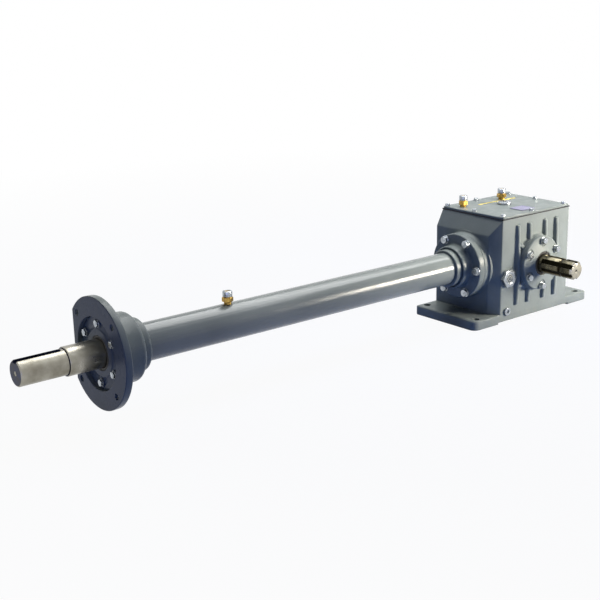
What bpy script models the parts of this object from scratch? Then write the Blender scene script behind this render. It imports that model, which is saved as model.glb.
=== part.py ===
"""Right-angle bevel gearbox on feet, with a long tube and flange carrying its output shaft.

Metres, +Z up. The output shaft runs along X towards -X, the splined input shaft along Y towards -Y.
The origin is on the plane that the feet stand on, below the output axis, in line with the housing's
output panel.
"""

import math

import bmesh
import bpy
from mathutils import Matrix, Vector

# ---------------------------------------------------------------- fits and fineness
SEAT_GAP = 0.0003  # between two pieces that seat on each other
RUNNING_GAP = 0.0005  # round a shaft that turns in a fixed piece
CUT_MARGIN = 0.002  # how far a cutter runs past what it cuts
FINE, MEDIUM, COARSE = 36, 24, 16  # sides of large, middling and small round pieces

# ---------------------------------------------------------------- axes
AXIS_HEIGHT = 0.106  # both shafts above the feet
INPUT_X = 0.108  # input axis behind the output panel

# ---------------------------------------------------------------- housing
BODY_LENGTH, BODY_WIDTH, BODY_HEIGHT = 0.204, 0.154, 0.198
WALL = 0.014
PANEL_SLOPE_DEPTH = 0.016  # how far the panel's sloped margins run back
PANEL_TOP_MARGIN, PANEL_SIDE_MARGIN = 0.030, 0.020
FOOT_FRONT, FOOT_REAR = 0.054, 0.062  # the base plate past the body at each end
FOOT_THICKNESS = 0.018
FOOT_NEAR_CORNER, FOOT_CORNER = 0.014, 0.004  # the corner below both shafts is rounder than the rest
FOOT_HOLE_RADIUS, FOOT_HOLE_INSET_X, FOOT_HOLE_INSET_Y = 0.0065, 0.018, 0.013
FOOT_RELIEF_DEPTH, FOOT_RELIEF_START, FOOT_RELIEF_LENGTH = 0.004, 0.010, 0.202
RIB_OFFSETS, RIB_SHIFT = (0.022, 0.054), 0.0025  # each side of the input axis, and the whole set to the rear
RIB_BASE_WIDTH, RIB_CREST_WIDTH, RIB_HEIGHT = 0.011, 0.006, 0.008
RIB_LOW, RIB_TOP_MARGIN, RIB_END_SLOPE = 0.028, 0.011, 0.005

# ---------------------------------------------------------------- input side
SIDE_BOSS_RADIUS, SIDE_BOSS_HEIGHT = 0.052, 0.009
INPUT_BEARING_BORE, INPUT_BEARING_OUTER, INPUT_BEARING_WIDTH = 0.0175, 0.036, 0.017
SIDE_COVER_RADIUS, SIDE_COVER_THICKNESS, SIDE_SPIGOT = 0.051, 0.008, 0.003
SIDE_COVER_CONE_HEIGHT, SIDE_COVER_CONE_BASE, SIDE_COVER_CONE_TOP = 0.004, 0.047, 0.026
SIDE_SPOT_RADIUS = 0.0095
REAR_CAP_THICKNESS = 0.007
SIDE_BOLT_CIRCLE = 0.0435
INPUT_SEAL_RADIUS, INPUT_SEAL_WIDTH = 0.0225, 0.007
SPLINE_RADIUS, SPLINE_ROOT_RADIUS, SPLINE_TOOTH_WIDTH, SPLINE_TEETH = 0.01745, 0.01445, 0.00864, 6
SPLINE_LENGTH, SPLINE_GROOVE_FROM_END, SPLINE_GROOVE_WIDTH = 0.076, 0.0285, 0.007
SPLINE_GROOVE_RADIUS = 0.0147
INPUT_REACH = 0.0985  # shaft end past the side of the body
INPUT_CORE_RADIUS = 0.021
CENTRE_HOLE_RADIUS, CENTRE_HOLE_DEPTH, SHAFT_CHAMFER = 0.0032, 0.008, 0.0015

# ---------------------------------------------------------------- output side
PANEL_BOSS_RADIUS, PANEL_BOSS_HEIGHT, PANEL_BORE_RADIUS = 0.060, 0.011, 0.045
ADAPTER_RADIUS, ADAPTER_THICKNESS, ADAPTER_SPIGOT = 0.061, 0.014, 0.037
ADAPTER_BOLT_CIRCLE = 0.0535
COLLAR_RADIUS, COLLAR_LENGTH = 0.040, 0.020
SLEEVE_RADIUS, SLEEVE_LENGTH, GROOVE_DEPTH, GROOVE_WIDTH = 0.035, 0.012, 0.005, 0.002
TUBE_RADIUS, TUBE_WALL, TUBE_SOCKET = 0.030, 0.005, 0.022
OUTPUT_BEARING_BORE, OUTPUT_BEARING_OUTER, OUTPUT_BEARING_WIDTH = 0.0225, 0.0375, 0.016
FLANGE_FACE_X = -0.785
FLANGE_RADIUS, FLANGE_THICKNESS, FLANGE_FLAT = 0.0875, 0.012, 0.067
FLANGE_HOLE_RADIUS, FLANGE_HOLE_CIRCLE = 0.0055, 0.075
FLANGE_RECESS_RADIUS, FLANGE_RECESS_DEPTH = 0.057, 0.0095
HUB_RADIUS, HUB_LENGTH, HUB_ROUND = 0.0545, 0.0455, 0.008
NECK_RADIUS, NECK_LENGTH, NECK_ROUND = 0.042, 0.0155, 0.005
RETAINER_THICKNESS, RETAINER_SPIGOT, RETAINER_BOLT_CIRCLE = 0.004, 0.0075, 0.0465
OUTPUT_SEAL_RADIUS, OUTPUT_SEAL_WIDTH = 0.027, 0.008
BEARING_LAND = 0.0225  # shaft radius under bearings and seal
SHAFT_BODY_RADIUS = 0.020
LAND_REACH, KEYED_LENGTH = 0.053, 0.076  # past the flange face
KEYED_RADIUS, KEY_WIDTH, KEY_DEPTH, KEYWAY_LENGTH = 0.020, 0.012, 0.005, 0.072

# ---------------------------------------------------------------- bevel gears
MODULE, INPUT_TEETH, OUTPUT_TEETH = 0.0045, 16, 24
FACE_WIDTH, PRESSURE_ANGLE, BACKLASH = 0.018, math.radians(20), 0.0001
ADDENDUM, DEDENDUM = 0.85, 1.15  # in modules
PINION_HUB_RADIUS, GEAR_HUB_RADIUS = 0.027, 0.034
SHAFT_END_GAP = 0.002  # output shaft end behind the gear's small end

# ---------------------------------------------------------------- top
GASKET_THICKNESS, COVER_THICKNESS, COVER_CORNER_RADIUS = 0.001, 0.004, 0.005
COVER_BOLT_INSET, COVER_BOLT_REAR_INSET = 0.0065, 0.0095
COVER_BOLT_MIDDLE = 0.46  # place of the middle bolts along the row
BREATHER_SHANK_RADIUS, BREATHER_SHANK_LENGTH = 0.005, 0.0065
BREATHER_FOOT_RADIUS, BREATHER_FOOT_HEIGHT = 0.0062, 0.004
BREATHER_HEX, BREATHER_HEX_HEIGHT = 0.016, 0.008
BREATHER_STEM_RADIUS, BREATHER_STEM_HEIGHT = 0.005, 0.0085
BREATHER_CAP_RADIUS, BREATHER_CAP_HEIGHT, BREATHER_CAP_TOP = 0.008, 0.009, 0.0015
COVER_BREATHERS = ((0.040, 0.046), (0.146, 0.044))
TUBE_BREATHER_X = -0.546
FILLER_X, FILLER_Y, FILLER_RADIUS, FILLER_HEIGHT, FILLER_SHANK = 0.114, 0.008, 0.0135, 0.005, 0.009
PLATE_X, PLATE_SIDE_INSET, PLATE_LENGTH, PLATE_WIDTH, PLATE_THICKNESS = 0.106, 0.0325, 0.036, 0.031, 0.001

# ---------------------------------------------------------------- plugs on the ribbed side
SIGHT_X, SIGHT_Z, SIGHT_HEX, SIGHT_HEIGHT = 0.032, 0.087, 0.027, 0.007
SIGHT_TURN = math.radians(0)  # the hexagon stands on a flat
SIGHT_SHANK_RADIUS, LENS_RADIUS, LENS_THICKNESS = 0.010, 0.0085, 0.0025
DRAIN_X, DRAIN_Z, DRAIN_RADIUS, DRAIN_HEIGHT, DRAIN_SHANK_RADIUS = 0.032, 0.0225, 0.0078, 0.004, 0.0055
DRAIN_SOCKET_HEX, PLUG_SHANK_LENGTH = 0.006, 0.011

# ---------------------------------------------------------------- fasteners: hex across flats, head height,
# washer radius and thickness, shank radius and length under the head
M8 = {"hex": 0.013, "head": 0.0055, "washer": 0.0080, "washer_height": 0.0016, "shank": 0.004}
M7 = {"hex": 0.011, "head": 0.0060, "washer": 0.0068, "washer_height": 0.0020, "shank": 0.0035}
M5 = {"hex": 0.008, "head": 0.0035, "washer": 0.0050, "washer_height": 0.0010, "shank": 0.0025}
M6 = {"hex": 0.010, "head": 0.0030, "washer": 0.0058, "washer_height": 0.0005, "shank": 0.003}
ADAPTER_BOLT_LENGTH, SIDE_BOLT_LENGTH, COVER_BOLT_LENGTH, RETAINER_BOLT_LENGTH = 0.024, 0.019, 0.016, 0.012

# ---------------------------------------------------------------- places that follow from the sizes
HALF_WIDTH = BODY_WIDTH / 2
SIDE_FACE = HALF_WIDTH + SIDE_BOSS_HEIGHT  # |y| of the machined side bosses
PANEL_FACE = -PANEL_BOSS_HEIGHT  # x of the machined panel boss
RIB_HIGH = BODY_HEIGHT - RIB_TOP_MARGIN
PLATE_Y = PLATE_SIDE_INSET - HALF_WIDTH
COVER_BOTTOM = BODY_HEIGHT + GASKET_THICKNESS + 2 * SEAT_GAP
COVER_TOP = COVER_BOTTOM + COVER_THICKNESS
CAVITY_FRONT, CAVITY_REAR = PANEL_SLOPE_DEPTH + WALL, BODY_LENGTH - WALL
INPUT_PITCH_RADIUS, OUTPUT_PITCH_RADIUS = MODULE * INPUT_TEETH / 2, MODULE * OUTPUT_TEETH / 2
COVER_FACE = -SIDE_FACE - SEAT_GAP - SIDE_COVER_THICKNESS
ADAPTER_FACE = PANEL_FACE - SEAT_GAP - ADAPTER_THICKNESS
COLLAR_END = ADAPTER_FACE - COLLAR_LENGTH
SLEEVE_END = COLLAR_END - SLEEVE_LENGTH
SPIGOT_END = PANEL_FACE - SEAT_GAP + ADAPTER_SPIGOT
RECESS_FLOOR = FLANGE_FACE_X + FLANGE_RECESS_DEPTH
FLANGE_BACK = FLANGE_FACE_X + FLANGE_THICKNESS
HUB_END = FLANGE_BACK + HUB_LENGTH
NECK_END = HUB_END + NECK_LENGTH
RETAINER_FACE = RECESS_FLOOR - SEAT_GAP - RETAINER_THICKNESS
TUBE_FRONT, TUBE_REAR = NECK_END - TUBE_SOCKET, SLEEVE_END + TUBE_SOCKET
INPUT_END = -HALF_WIDTH - INPUT_REACH
BEARING_CUP_Y = SIDE_FACE - SIDE_SPIGOT - SEAT_GAP  # outer end of each input bearing, |y|

PAINT = ("grey_paint", (0.10, 0.12, 0.14), 0.38, 0.0)
STEEL = ("ground_steel", (0.55, 0.53, 0.47), 0.25, 1.0)
ZINC = ("zinc_plate", (0.70, 0.72, 0.74), 0.30, 1.0)
BRASS = ("brass", (0.72, 0.43, 0.10), 0.30, 1.0)
RUBBER = ("black_rubber", (0.02, 0.02, 0.02), 0.60, 0.0)
GASKET = ("gasket_sheet", (0.03, 0.03, 0.03), 0.80, 0.0)
GLASS = ("sight_lens", (0.75, 0.78, 0.76), 0.10, 0.0)
BEARING = ("bearing_steel", (0.60, 0.61, 0.62), 0.20, 1.0)


# ---------------------------------------------------------------- scene and materials
def clear_scene():
    for obj in list(bpy.data.objects):
        bpy.data.objects.remove(obj)


def collection(name, hidden=False):
    made = bpy.data.collections.new(name)
    made.hide_render = hidden
    bpy.context.scene.collection.children.link(made)
    return made


def material(finish):
    name, colour, roughness, metallic = finish
    made = bpy.data.materials.get(name)
    if made is None:
        made = bpy.data.materials.new(name)
        made.use_nodes = True
        shader = made.node_tree.nodes["Principled BSDF"]
        shader.inputs["Base Color"].default_value = (*colour, 1)
        shader.inputs["Roughness"].default_value = roughness
        shader.inputs["Metallic"].default_value = metallic
    return made


def place(name, mesh, finish=None, location=(0, 0, 0), rotation=(0, 0, 0)):
    """A part when it has a finish, otherwise a hidden cutter."""
    obj = bpy.data.objects.new(name, mesh)
    obj.location, obj.rotation_euler = location, rotation
    if finish:
        PARTS.objects.link(obj)
        if not mesh.materials:
            mesh.materials.append(material(finish))
    else:
        CUTTERS.objects.link(obj)
        obj.hide_render, obj.display_type = True, "WIRE"
    return obj


# ---------------------------------------------------------------- shapes
def mesh_from(name, fill):
    """A mesh whose geometry the function fill adds to a bmesh."""
    bm = bmesh.new()
    fill(bm)
    mesh = bpy.data.meshes.new(name)
    bm.to_mesh(mesh)
    bm.free()
    return mesh


def add_box(bm, low, high):
    size, middle = Vector(high) - Vector(low), (Vector(high) + Vector(low)) / 2
    matrix = Matrix.Translation(middle) @ Matrix.Diagonal((*size, 1))
    return bmesh.ops.create_cube(bm, size=1, matrix=matrix)["verts"]


def add_rod(bm, start, end, radius, sides, phase=0.0):
    """A closed cylinder or prism between two points."""
    start, end = Vector(start), Vector(end)
    along = end - start
    turn = along.to_track_quat("Z", "Y").to_matrix().to_4x4() @ Matrix.Rotation(phase, 4, "Z")
    bmesh.ops.create_cone(
        bm, cap_ends=True, segments=sides, radius1=radius, radius2=radius,
        depth=along.length, matrix=Matrix.Translation((start + end) / 2) @ turn,
    )


TURNS = {"X": (0, math.pi / 2, 0), "Y": (-math.pi / 2, 0, 0), "Z": (0, 0, 0)}


def turned(name, axis, profile, finish, centre, sides=MEDIUM):
    """A turned piece. The profile lists (place along the axis, radius) round the section; a solid
    piece's profile starts and ends on the axis."""
    open_profile = profile[0][1] == 0
    around = profile + [profile[0]]
    area = sum(a[1] * b[0] - b[1] * a[0] for a, b in zip(around, around[1:]))
    points = list(reversed(profile)) if area > 0 else profile
    count = len(points)
    mesh = bpy.data.meshes.new(name)
    edges = [(i, i + 1) for i in range(count - 1)] + ([] if open_profile else [(count - 1, 0)])
    mesh.from_pydata([(radius, 0, along) for along, radius in points], edges, [])
    obj = place(name, mesh, finish, centre, TURNS[axis])
    screw = obj.modifiers.new("turn", "SCREW")
    screw.steps = screw.render_steps = sides
    screw.use_merge_vertices, screw.merge_threshold = True, 0.00001
    screw.use_smooth_shade = False
    return obj


def outline_mesh(name, outlines, thickness):
    """Flat outlines given a thickness about their own plane. A second outline inside the first is a hole."""
    curve = bpy.data.curves.new(name, "CURVE")
    curve.dimensions, curve.fill_mode, curve.extrude = "2D", "BOTH", thickness / 2
    for outline in outlines:
        spline = curve.splines.new("POLY")
        spline.points.add(len(outline) - 1)
        for point, (x, y) in zip(spline.points, outline):
            point.co = (x, y, 0, 1)
        spline.use_cyclic_u = True
    guide = bpy.data.objects.new(name, curve)
    CUTTERS.objects.link(guide)
    graph = bpy.context.evaluated_depsgraph_get()
    mesh = bpy.data.meshes.new_from_object(guide.evaluated_get(graph))
    bpy.data.objects.remove(guide)
    mesh.materials.clear()
    bm = bmesh.new()
    bm.from_mesh(mesh)
    bmesh.ops.remove_doubles(bm, verts=bm.verts, dist=0.000001)
    bmesh.ops.recalc_face_normals(bm, faces=bm.faces)
    bm.to_mesh(mesh)
    bm.free()
    return mesh


def rounded_rectangle(low_x, high_x, low_y, high_y, corner, steps=4, near_corner=None):
    """near_corner is the radius at low x and low y, where it differs from the rest."""
    points = []
    corners = ((high_x, high_y, 0), (low_x, high_y, 90), (low_x, low_y, 180), (high_x, low_y, 270))
    for x, y, start in corners:
        radius = near_corner if near_corner and start == 180 else corner
        centre_x = x - math.copysign(radius, x - (low_x + high_x) / 2)
        centre_y = y - math.copysign(radius, y - (low_y + high_y) / 2)
        for step in range(steps + 1):
            angle = math.radians(start + 90 * step / steps)
            points.append((centre_x + radius * math.cos(angle), centre_y + radius * math.sin(angle)))
    return points


def boolean(obj, operation, *others):
    for other in others:
        modifier = obj.modifiers.new(other.name, "BOOLEAN")
        modifier.operation, modifier.object, modifier.solver = operation, other, "EXACT"


def cut(obj, *cutters):
    boolean(obj, "DIFFERENCE", *cutters)


def add(obj, *others):
    boolean(obj, "UNION", *others)


def settle(obj):
    """Turns an object's modifiers into its mesh and takes it out of the scene."""
    graph = bpy.context.evaluated_depsgraph_get()
    mesh = bpy.data.meshes.new_from_object(obj.evaluated_get(graph))
    bpy.data.objects.remove(obj)
    return mesh


# ---------------------------------------------------------------- fasteners
def bolt_mesh(name, size, length):
    """Hex head and washer above z = 0, shank below."""
    overlap = size["washer_height"] / 2
    head_top = size["washer_height"] + size["head"]

    def head(bm):
        add_rod(bm, (0, 0, overlap), (0, 0, head_top), size["hex"] / math.sqrt(3), 6)

    def washer(bm):
        add_rod(bm, (0, 0, 0), (0, 0, size["washer_height"]), size["washer"], 12)

    def shank(bm):
        add_rod(bm, (0, 0, -length), (0, 0, overlap), size["shank"], 6)

    obj = place(name, mesh_from(name, head))
    add(obj, place(name + "_washer", mesh_from(name, washer)), place(name + "_shank", mesh_from(name, shank)))
    mesh = settle(obj)
    mesh.materials.clear()
    return mesh


def circle_points(radius, count, start_degrees=0.0):
    angles = [math.radians(start_degrees + 360 * i / count) for i in range(count)]
    return [(radius * math.cos(a), radius * math.sin(a)) for a in angles]


def bolt_set(prefix, size, length, seats, outward):
    """One bolt at each seat, its head towards outward, and the cutter for their holes."""
    mesh = bolt_mesh(prefix, size, length)
    rotation = Vector(outward).to_track_quat("Z", "Y").to_euler()
    lift = Vector(outward) * SEAT_GAP
    for number, seat in enumerate(seats, 1):
        place(f"{prefix}_{number}", mesh, ZINC, Vector(seat) + lift, rotation)

    def holes(bm):
        for seat in seats:
            top = Vector(seat) + Vector(outward) * (2 * CUT_MARGIN)
            bottom = Vector(seat) - Vector(outward) * (length + SEAT_GAP)
            add_rod(bm, bottom, top, size["shank"] + SEAT_GAP, 6)

    return place(prefix + "_holes", mesh_from(prefix + "_holes", holes))


# ---------------------------------------------------------------- housing
def body_mesh():
    """The cast box, with sloped margins along the panel's top and its near side."""
    bm = bmesh.new()
    add_box(bm, (0, -HALF_WIDTH, 0), (BODY_LENGTH, HALF_WIDTH, BODY_HEIGHT))
    planes = (
        ((0, 0, BODY_HEIGHT - PANEL_TOP_MARGIN), (-PANEL_TOP_MARGIN, 0, PANEL_SLOPE_DEPTH)),
        ((0, PANEL_SIDE_MARGIN - HALF_WIDTH, 0), (-PANEL_SIDE_MARGIN, -PANEL_SLOPE_DEPTH, 0)),
    )
    for point, normal in planes:
        cut_edges = bmesh.ops.bisect_plane(
            bm, geom=bm.verts[:] + bm.edges[:] + bm.faces[:], plane_co=point, plane_no=normal, clear_outer=True
        )["geom_cut"]
        bmesh.ops.contextual_create(bm, geom=[g for g in cut_edges if isinstance(g, bmesh.types.BMEdge)])
    bmesh.ops.recalc_face_normals(bm, faces=bm.faces)
    mesh = bpy.data.meshes.new("housing")
    bm.to_mesh(mesh)
    bm.free()
    return mesh


def add_ribs(bm):
    """Vertical cooling ribs with drafted sides and sloping ends, on both long sides."""
    middle_z, half_length = (RIB_LOW + RIB_HIGH) / 2, (RIB_HIGH - RIB_LOW) / 2
    root = WALL / 3  # how far a rib is buried in the wall
    for side in (-1, 1):
        for offset in [s * o for o in RIB_OFFSETS for s in (-1, 1)]:
            x = INPUT_X + RIB_SHIFT + offset
            inner, outer = side * (HALF_WIDTH - root), side * (HALF_WIDTH + RIB_HEIGHT)
            low = (x - RIB_BASE_WIDTH / 2, min(inner, outer), RIB_LOW)
            high = (x + RIB_BASE_WIDTH / 2, max(inner, outer), RIB_HIGH)
            for vert in add_box(bm, low, high):
                if abs(vert.co.y) > HALF_WIDTH:
                    vert.co.x = x + (vert.co.x - x) * RIB_CREST_WIDTH / RIB_BASE_WIDTH
                    vert.co.z = middle_z + (vert.co.z - middle_z) * (1 - RIB_END_SLOPE / half_length)


def housing_cutters():
    z = AXIS_HEIGHT

    def cavity(bm):
        side = HALF_WIDTH - WALL
        add_box(bm, (CAVITY_FRONT, -side, WALL), (CAVITY_REAR, side, BODY_HEIGHT + CUT_MARGIN))

    def relief(bm):
        low = (FOOT_RELIEF_START, -HALF_WIDTH - CUT_MARGIN, -CUT_MARGIN)
        high = (FOOT_RELIEF_START + FOOT_RELIEF_LENGTH, HALF_WIDTH + CUT_MARGIN, FOOT_RELIEF_DEPTH)
        add_box(bm, low, high)

    def bores(bm):
        reach = SIDE_FACE + CUT_MARGIN
        add_rod(bm, (INPUT_X, -reach, z), (INPUT_X, reach, z), INPUT_BEARING_OUTER + SEAT_GAP, MEDIUM)

    def panel_bore(bm):
        start, end = (PANEL_FACE - CUT_MARGIN, 0, z), (CAVITY_FRONT + CUT_MARGIN, 0, z)
        add_rod(bm, start, end, PANEL_BORE_RADIUS + SEAT_GAP, MEDIUM)

    def holes(bm):
        for x in (FOOT_HOLE_INSET_X - FOOT_FRONT, BODY_LENGTH + FOOT_REAR - FOOT_HOLE_INSET_X):
            for y in (FOOT_HOLE_INSET_Y - HALF_WIDTH, HALF_WIDTH - FOOT_HOLE_INSET_Y):
                add_rod(bm, (x, y, -CUT_MARGIN), (x, y, FOOT_THICKNESS + CUT_MARGIN), FOOT_HOLE_RADIUS, 20)
        ports = ((SIGHT_X, SIGHT_Z, SIGHT_SHANK_RADIUS, 20), (DRAIN_X, DRAIN_Z, DRAIN_SHANK_RADIUS, 12))
        for x, port_z, radius, sides in ports:
            outside, inside = -HALF_WIDTH - CUT_MARGIN, WALL - HALF_WIDTH + CUT_MARGIN
            add_rod(bm, (x, inside, port_z), (x, outside, port_z), radius + SEAT_GAP, sides)

    fills = {"cavity": cavity, "foot_relief": relief, "side_bores": bores, "panel_bore": panel_bore,
             "foot_holes": holes}
    return [place(name + "_cutter", mesh_from(name, fill)) for name, fill in fills.items()]


def build_housing(bolt_holes):
    housing = place("housing", body_mesh(), PAINT)
    plate = rounded_rectangle(
        -FOOT_FRONT, BODY_LENGTH + FOOT_REAR, -HALF_WIDTH, HALF_WIDTH, FOOT_CORNER, 4, FOOT_NEAR_CORNER
    )
    foot_plate = place("foot_plate", outline_mesh("foot_plate", [plate], FOOT_THICKNESS))
    foot_plate.location.z = FOOT_THICKNESS / 2

    def bosses(bm):
        add_rod(bm, (INPUT_X, -SIDE_FACE, AXIS_HEIGHT), (INPUT_X, SIDE_FACE, AXIS_HEIGHT),
                SIDE_BOSS_RADIUS, MEDIUM)

    def panel_boss(bm):
        add_rod(bm, (PANEL_FACE, 0, AXIS_HEIGHT), (PANEL_SLOPE_DEPTH, 0, AXIS_HEIGHT),
                PANEL_BOSS_RADIUS, FINE)

    add(housing, foot_plate, place("ribs", mesh_from("ribs", add_ribs)),
        place("side_bosses", mesh_from("side_bosses", bosses)),
        place("panel_boss", mesh_from("panel_boss", panel_boss)))
    cut(housing, *housing_cutters(), *bolt_holes)


# ---------------------------------------------------------------- top of the housing
def top_outline():
    return rounded_rectangle(PANEL_SLOPE_DEPTH, BODY_LENGTH, -HALF_WIDTH, HALF_WIDTH, COVER_CORNER_RADIUS)


def cover_bolt_seats():
    low_x, high_x = PANEL_SLOPE_DEPTH + COVER_BOLT_INSET, BODY_LENGTH - COVER_BOLT_REAR_INSET
    middle_x, side = low_x + COVER_BOLT_MIDDLE * (high_x - low_x), HALF_WIDTH - COVER_BOLT_INSET
    places = [(x, y) for x in (low_x, middle_x, high_x) for y in (-side, side)] + [(low_x, 0), (high_x, 0)]
    return [(x, y, COVER_TOP) for x, y in places]


def build_top(cover_holes):
    inner = rounded_rectangle(
        CAVITY_FRONT, CAVITY_REAR, WALL - HALF_WIDTH, HALF_WIDTH - WALL, COVER_CORNER_RADIUS, 2
    )
    gasket_mesh = outline_mesh("cover_gasket", [top_outline(), inner], GASKET_THICKNESS)
    gasket_z = BODY_HEIGHT + SEAT_GAP + GASKET_THICKNESS / 2
    gasket = place("cover_gasket", gasket_mesh, GASKET, (0, 0, gasket_z))
    cover_mesh = outline_mesh("top_cover", [top_outline()], COVER_THICKNESS)
    cover = place("top_cover", cover_mesh, PAINT, (0, 0, COVER_TOP - COVER_THICKNESS / 2))

    def ports(bm):
        for x, y in COVER_BREATHERS:
            add_rod(bm, (x, y, COVER_BOTTOM - CUT_MARGIN), (x, y, COVER_TOP + CUT_MARGIN),
                    BREATHER_SHANK_RADIUS + SEAT_GAP, 16)
        low, high = COVER_BOTTOM - CUT_MARGIN, COVER_TOP + CUT_MARGIN
        add_rod(bm, (FILLER_X, FILLER_Y, low), (FILLER_X, FILLER_Y, high),
                FILLER_SHANK + SEAT_GAP, 20)

    cut(gasket, cover_holes)
    cut(cover, cover_holes, place("cover_ports", mesh_from("cover_ports", ports)))
    seat = COVER_TOP + SEAT_GAP
    for number, (x, y) in enumerate(COVER_BREATHERS, 1):
        build_breather(f"breather_{number}", (x, y, seat), BREATHER_SHANK_LENGTH)
    build_filler(seat)

    def plate(bm):
        half = Vector((PLATE_LENGTH, PLATE_WIDTH, PLATE_THICKNESS)) / 2
        add_box(bm, -half, half)

    place("nameplate", mesh_from("nameplate", plate), ZINC, (PLATE_X, PLATE_Y, seat + PLATE_THICKNESS / 2))


def build_breather(name, seat, shank_length):
    """A brass hex body screwed in at its seat, under a loose turned cap."""
    hex_low = BREATHER_FOOT_HEIGHT
    hex_high = hex_low + BREATHER_HEX_HEIGHT
    stem_top = hex_high + BREATHER_STEM_HEIGHT
    body = turned(f"{name}_body", "Z", [
        (stem_top, 0), (stem_top, BREATHER_STEM_RADIUS), (hex_low, BREATHER_STEM_RADIUS),
        (hex_low, BREATHER_FOOT_RADIUS), (0, BREATHER_FOOT_RADIUS), (0, BREATHER_SHANK_RADIUS),
        (-shank_length, BREATHER_SHANK_RADIUS), (-shank_length, 0),
    ], BRASS, seat, 16)

    def hexagon(bm):
        add_rod(bm, (0, 0, hex_low - CUT_MARGIN / 2), (0, 0, hex_high), BREATHER_HEX / math.sqrt(3), 6)

    add(body, place(f"{name}_hexagon", mesh_from(name, hexagon), None, seat))
    cap_low = hex_high + SEAT_GAP
    cap_high, edge = cap_low + BREATHER_CAP_HEIGHT, BREATHER_CAP_TOP
    bore, bore_top = BREATHER_STEM_RADIUS + SEAT_GAP, stem_top + SEAT_GAP
    turned(f"{name}_cap", "Z", [
        (cap_high, 0), (cap_high, BREATHER_CAP_RADIUS - edge), (cap_high - edge, BREATHER_CAP_RADIUS),
        (cap_low, BREATHER_CAP_RADIUS), (cap_low, bore),
        (min(bore_top, cap_high - edge / 2), bore), (min(bore_top, cap_high - edge / 2), 0),
    ], ZINC, seat, 20)


def build_filler(seat_z):
    head, edge = FILLER_HEIGHT, FILLER_HEIGHT / 5
    plug = turned("filler_plug", "Z", [
        (head, 0), (head, FILLER_RADIUS - edge), (head - edge, FILLER_RADIUS), (0, FILLER_RADIUS),
        (0, FILLER_SHANK), (-COVER_THICKNESS, FILLER_SHANK), (-COVER_THICKNESS, 0),
    ], ZINC, (FILLER_X, FILLER_Y, seat_z), 28)

    def socket(bm):
        add_rod(bm, (0, 0, head / 4), (0, 0, head + CUT_MARGIN), FILLER_SHANK / 2, 6)

    cut(plug, place("filler_socket", mesh_from("socket", socket), None, (FILLER_X, FILLER_Y, seat_z)))


# ---------------------------------------------------------------- plugs on the ribbed side
def build_side_plugs():
    face = -HALF_WIDTH - SEAT_GAP
    shank_end = face + PLUG_SHANK_LENGTH

    def sight_hexagon(bm):
        add_rod(bm, (SIGHT_X, face, SIGHT_Z), (SIGHT_X, face - SIGHT_HEIGHT, SIGHT_Z),
                SIGHT_HEX / math.sqrt(3), 6, SIGHT_TURN)

    sight = place("sight_glass_body", mesh_from("sight_glass_body", sight_hexagon), ZINC)

    def sight_shank(bm):
        add_rod(bm, (SIGHT_X, face - SIGHT_HEIGHT / 2, SIGHT_Z), (SIGHT_X, shank_end, SIGHT_Z),
                SIGHT_SHANK_RADIUS, 20)

    def lens_seat(bm):
        front = face - SIGHT_HEIGHT - CUT_MARGIN
        add_rod(bm, (SIGHT_X, front, SIGHT_Z), (SIGHT_X, face - SIGHT_HEIGHT / 2, SIGHT_Z),
                LENS_RADIUS + SEAT_GAP, 20)

    add(sight, place("sight_shank", mesh_from("sight_shank", sight_shank)))
    cut(sight, place("lens_seat", mesh_from("lens_seat", lens_seat)))
    lens_back = face - SIGHT_HEIGHT / 2 - SEAT_GAP
    turned("sight_lens", "Y", [
        (lens_back, 0), (lens_back, LENS_RADIUS), (lens_back - LENS_THICKNESS, LENS_RADIUS),
        (lens_back - LENS_THICKNESS, 0),
    ], GLASS, (SIGHT_X, 0, SIGHT_Z), 20)
    drain = turned("drain_plug", "Y", [
        (shank_end, 0), (shank_end, DRAIN_SHANK_RADIUS), (face, DRAIN_SHANK_RADIUS), (face, DRAIN_RADIUS),
        (face - DRAIN_HEIGHT, DRAIN_RADIUS), (face - DRAIN_HEIGHT, 0),
    ], ZINC, (DRAIN_X, 0, DRAIN_Z), 20)

    def drain_socket(bm):
        start = (DRAIN_X, face - DRAIN_HEIGHT / 4, DRAIN_Z)
        end = (DRAIN_X, face - DRAIN_HEIGHT - CUT_MARGIN, DRAIN_Z)
        add_rod(bm, start, end, DRAIN_SOCKET_HEX / math.sqrt(3), 6)

    cut(drain, place("drain_socket", mesh_from("drain_socket", drain_socket)))


# ---------------------------------------------------------------- input side
def input_bolt_seats():
    return [(INPUT_X + x, COVER_FACE, AXIS_HEIGHT + z) for x, z in circle_points(SIDE_BOLT_CIRCLE, 6, 30)]


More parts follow.
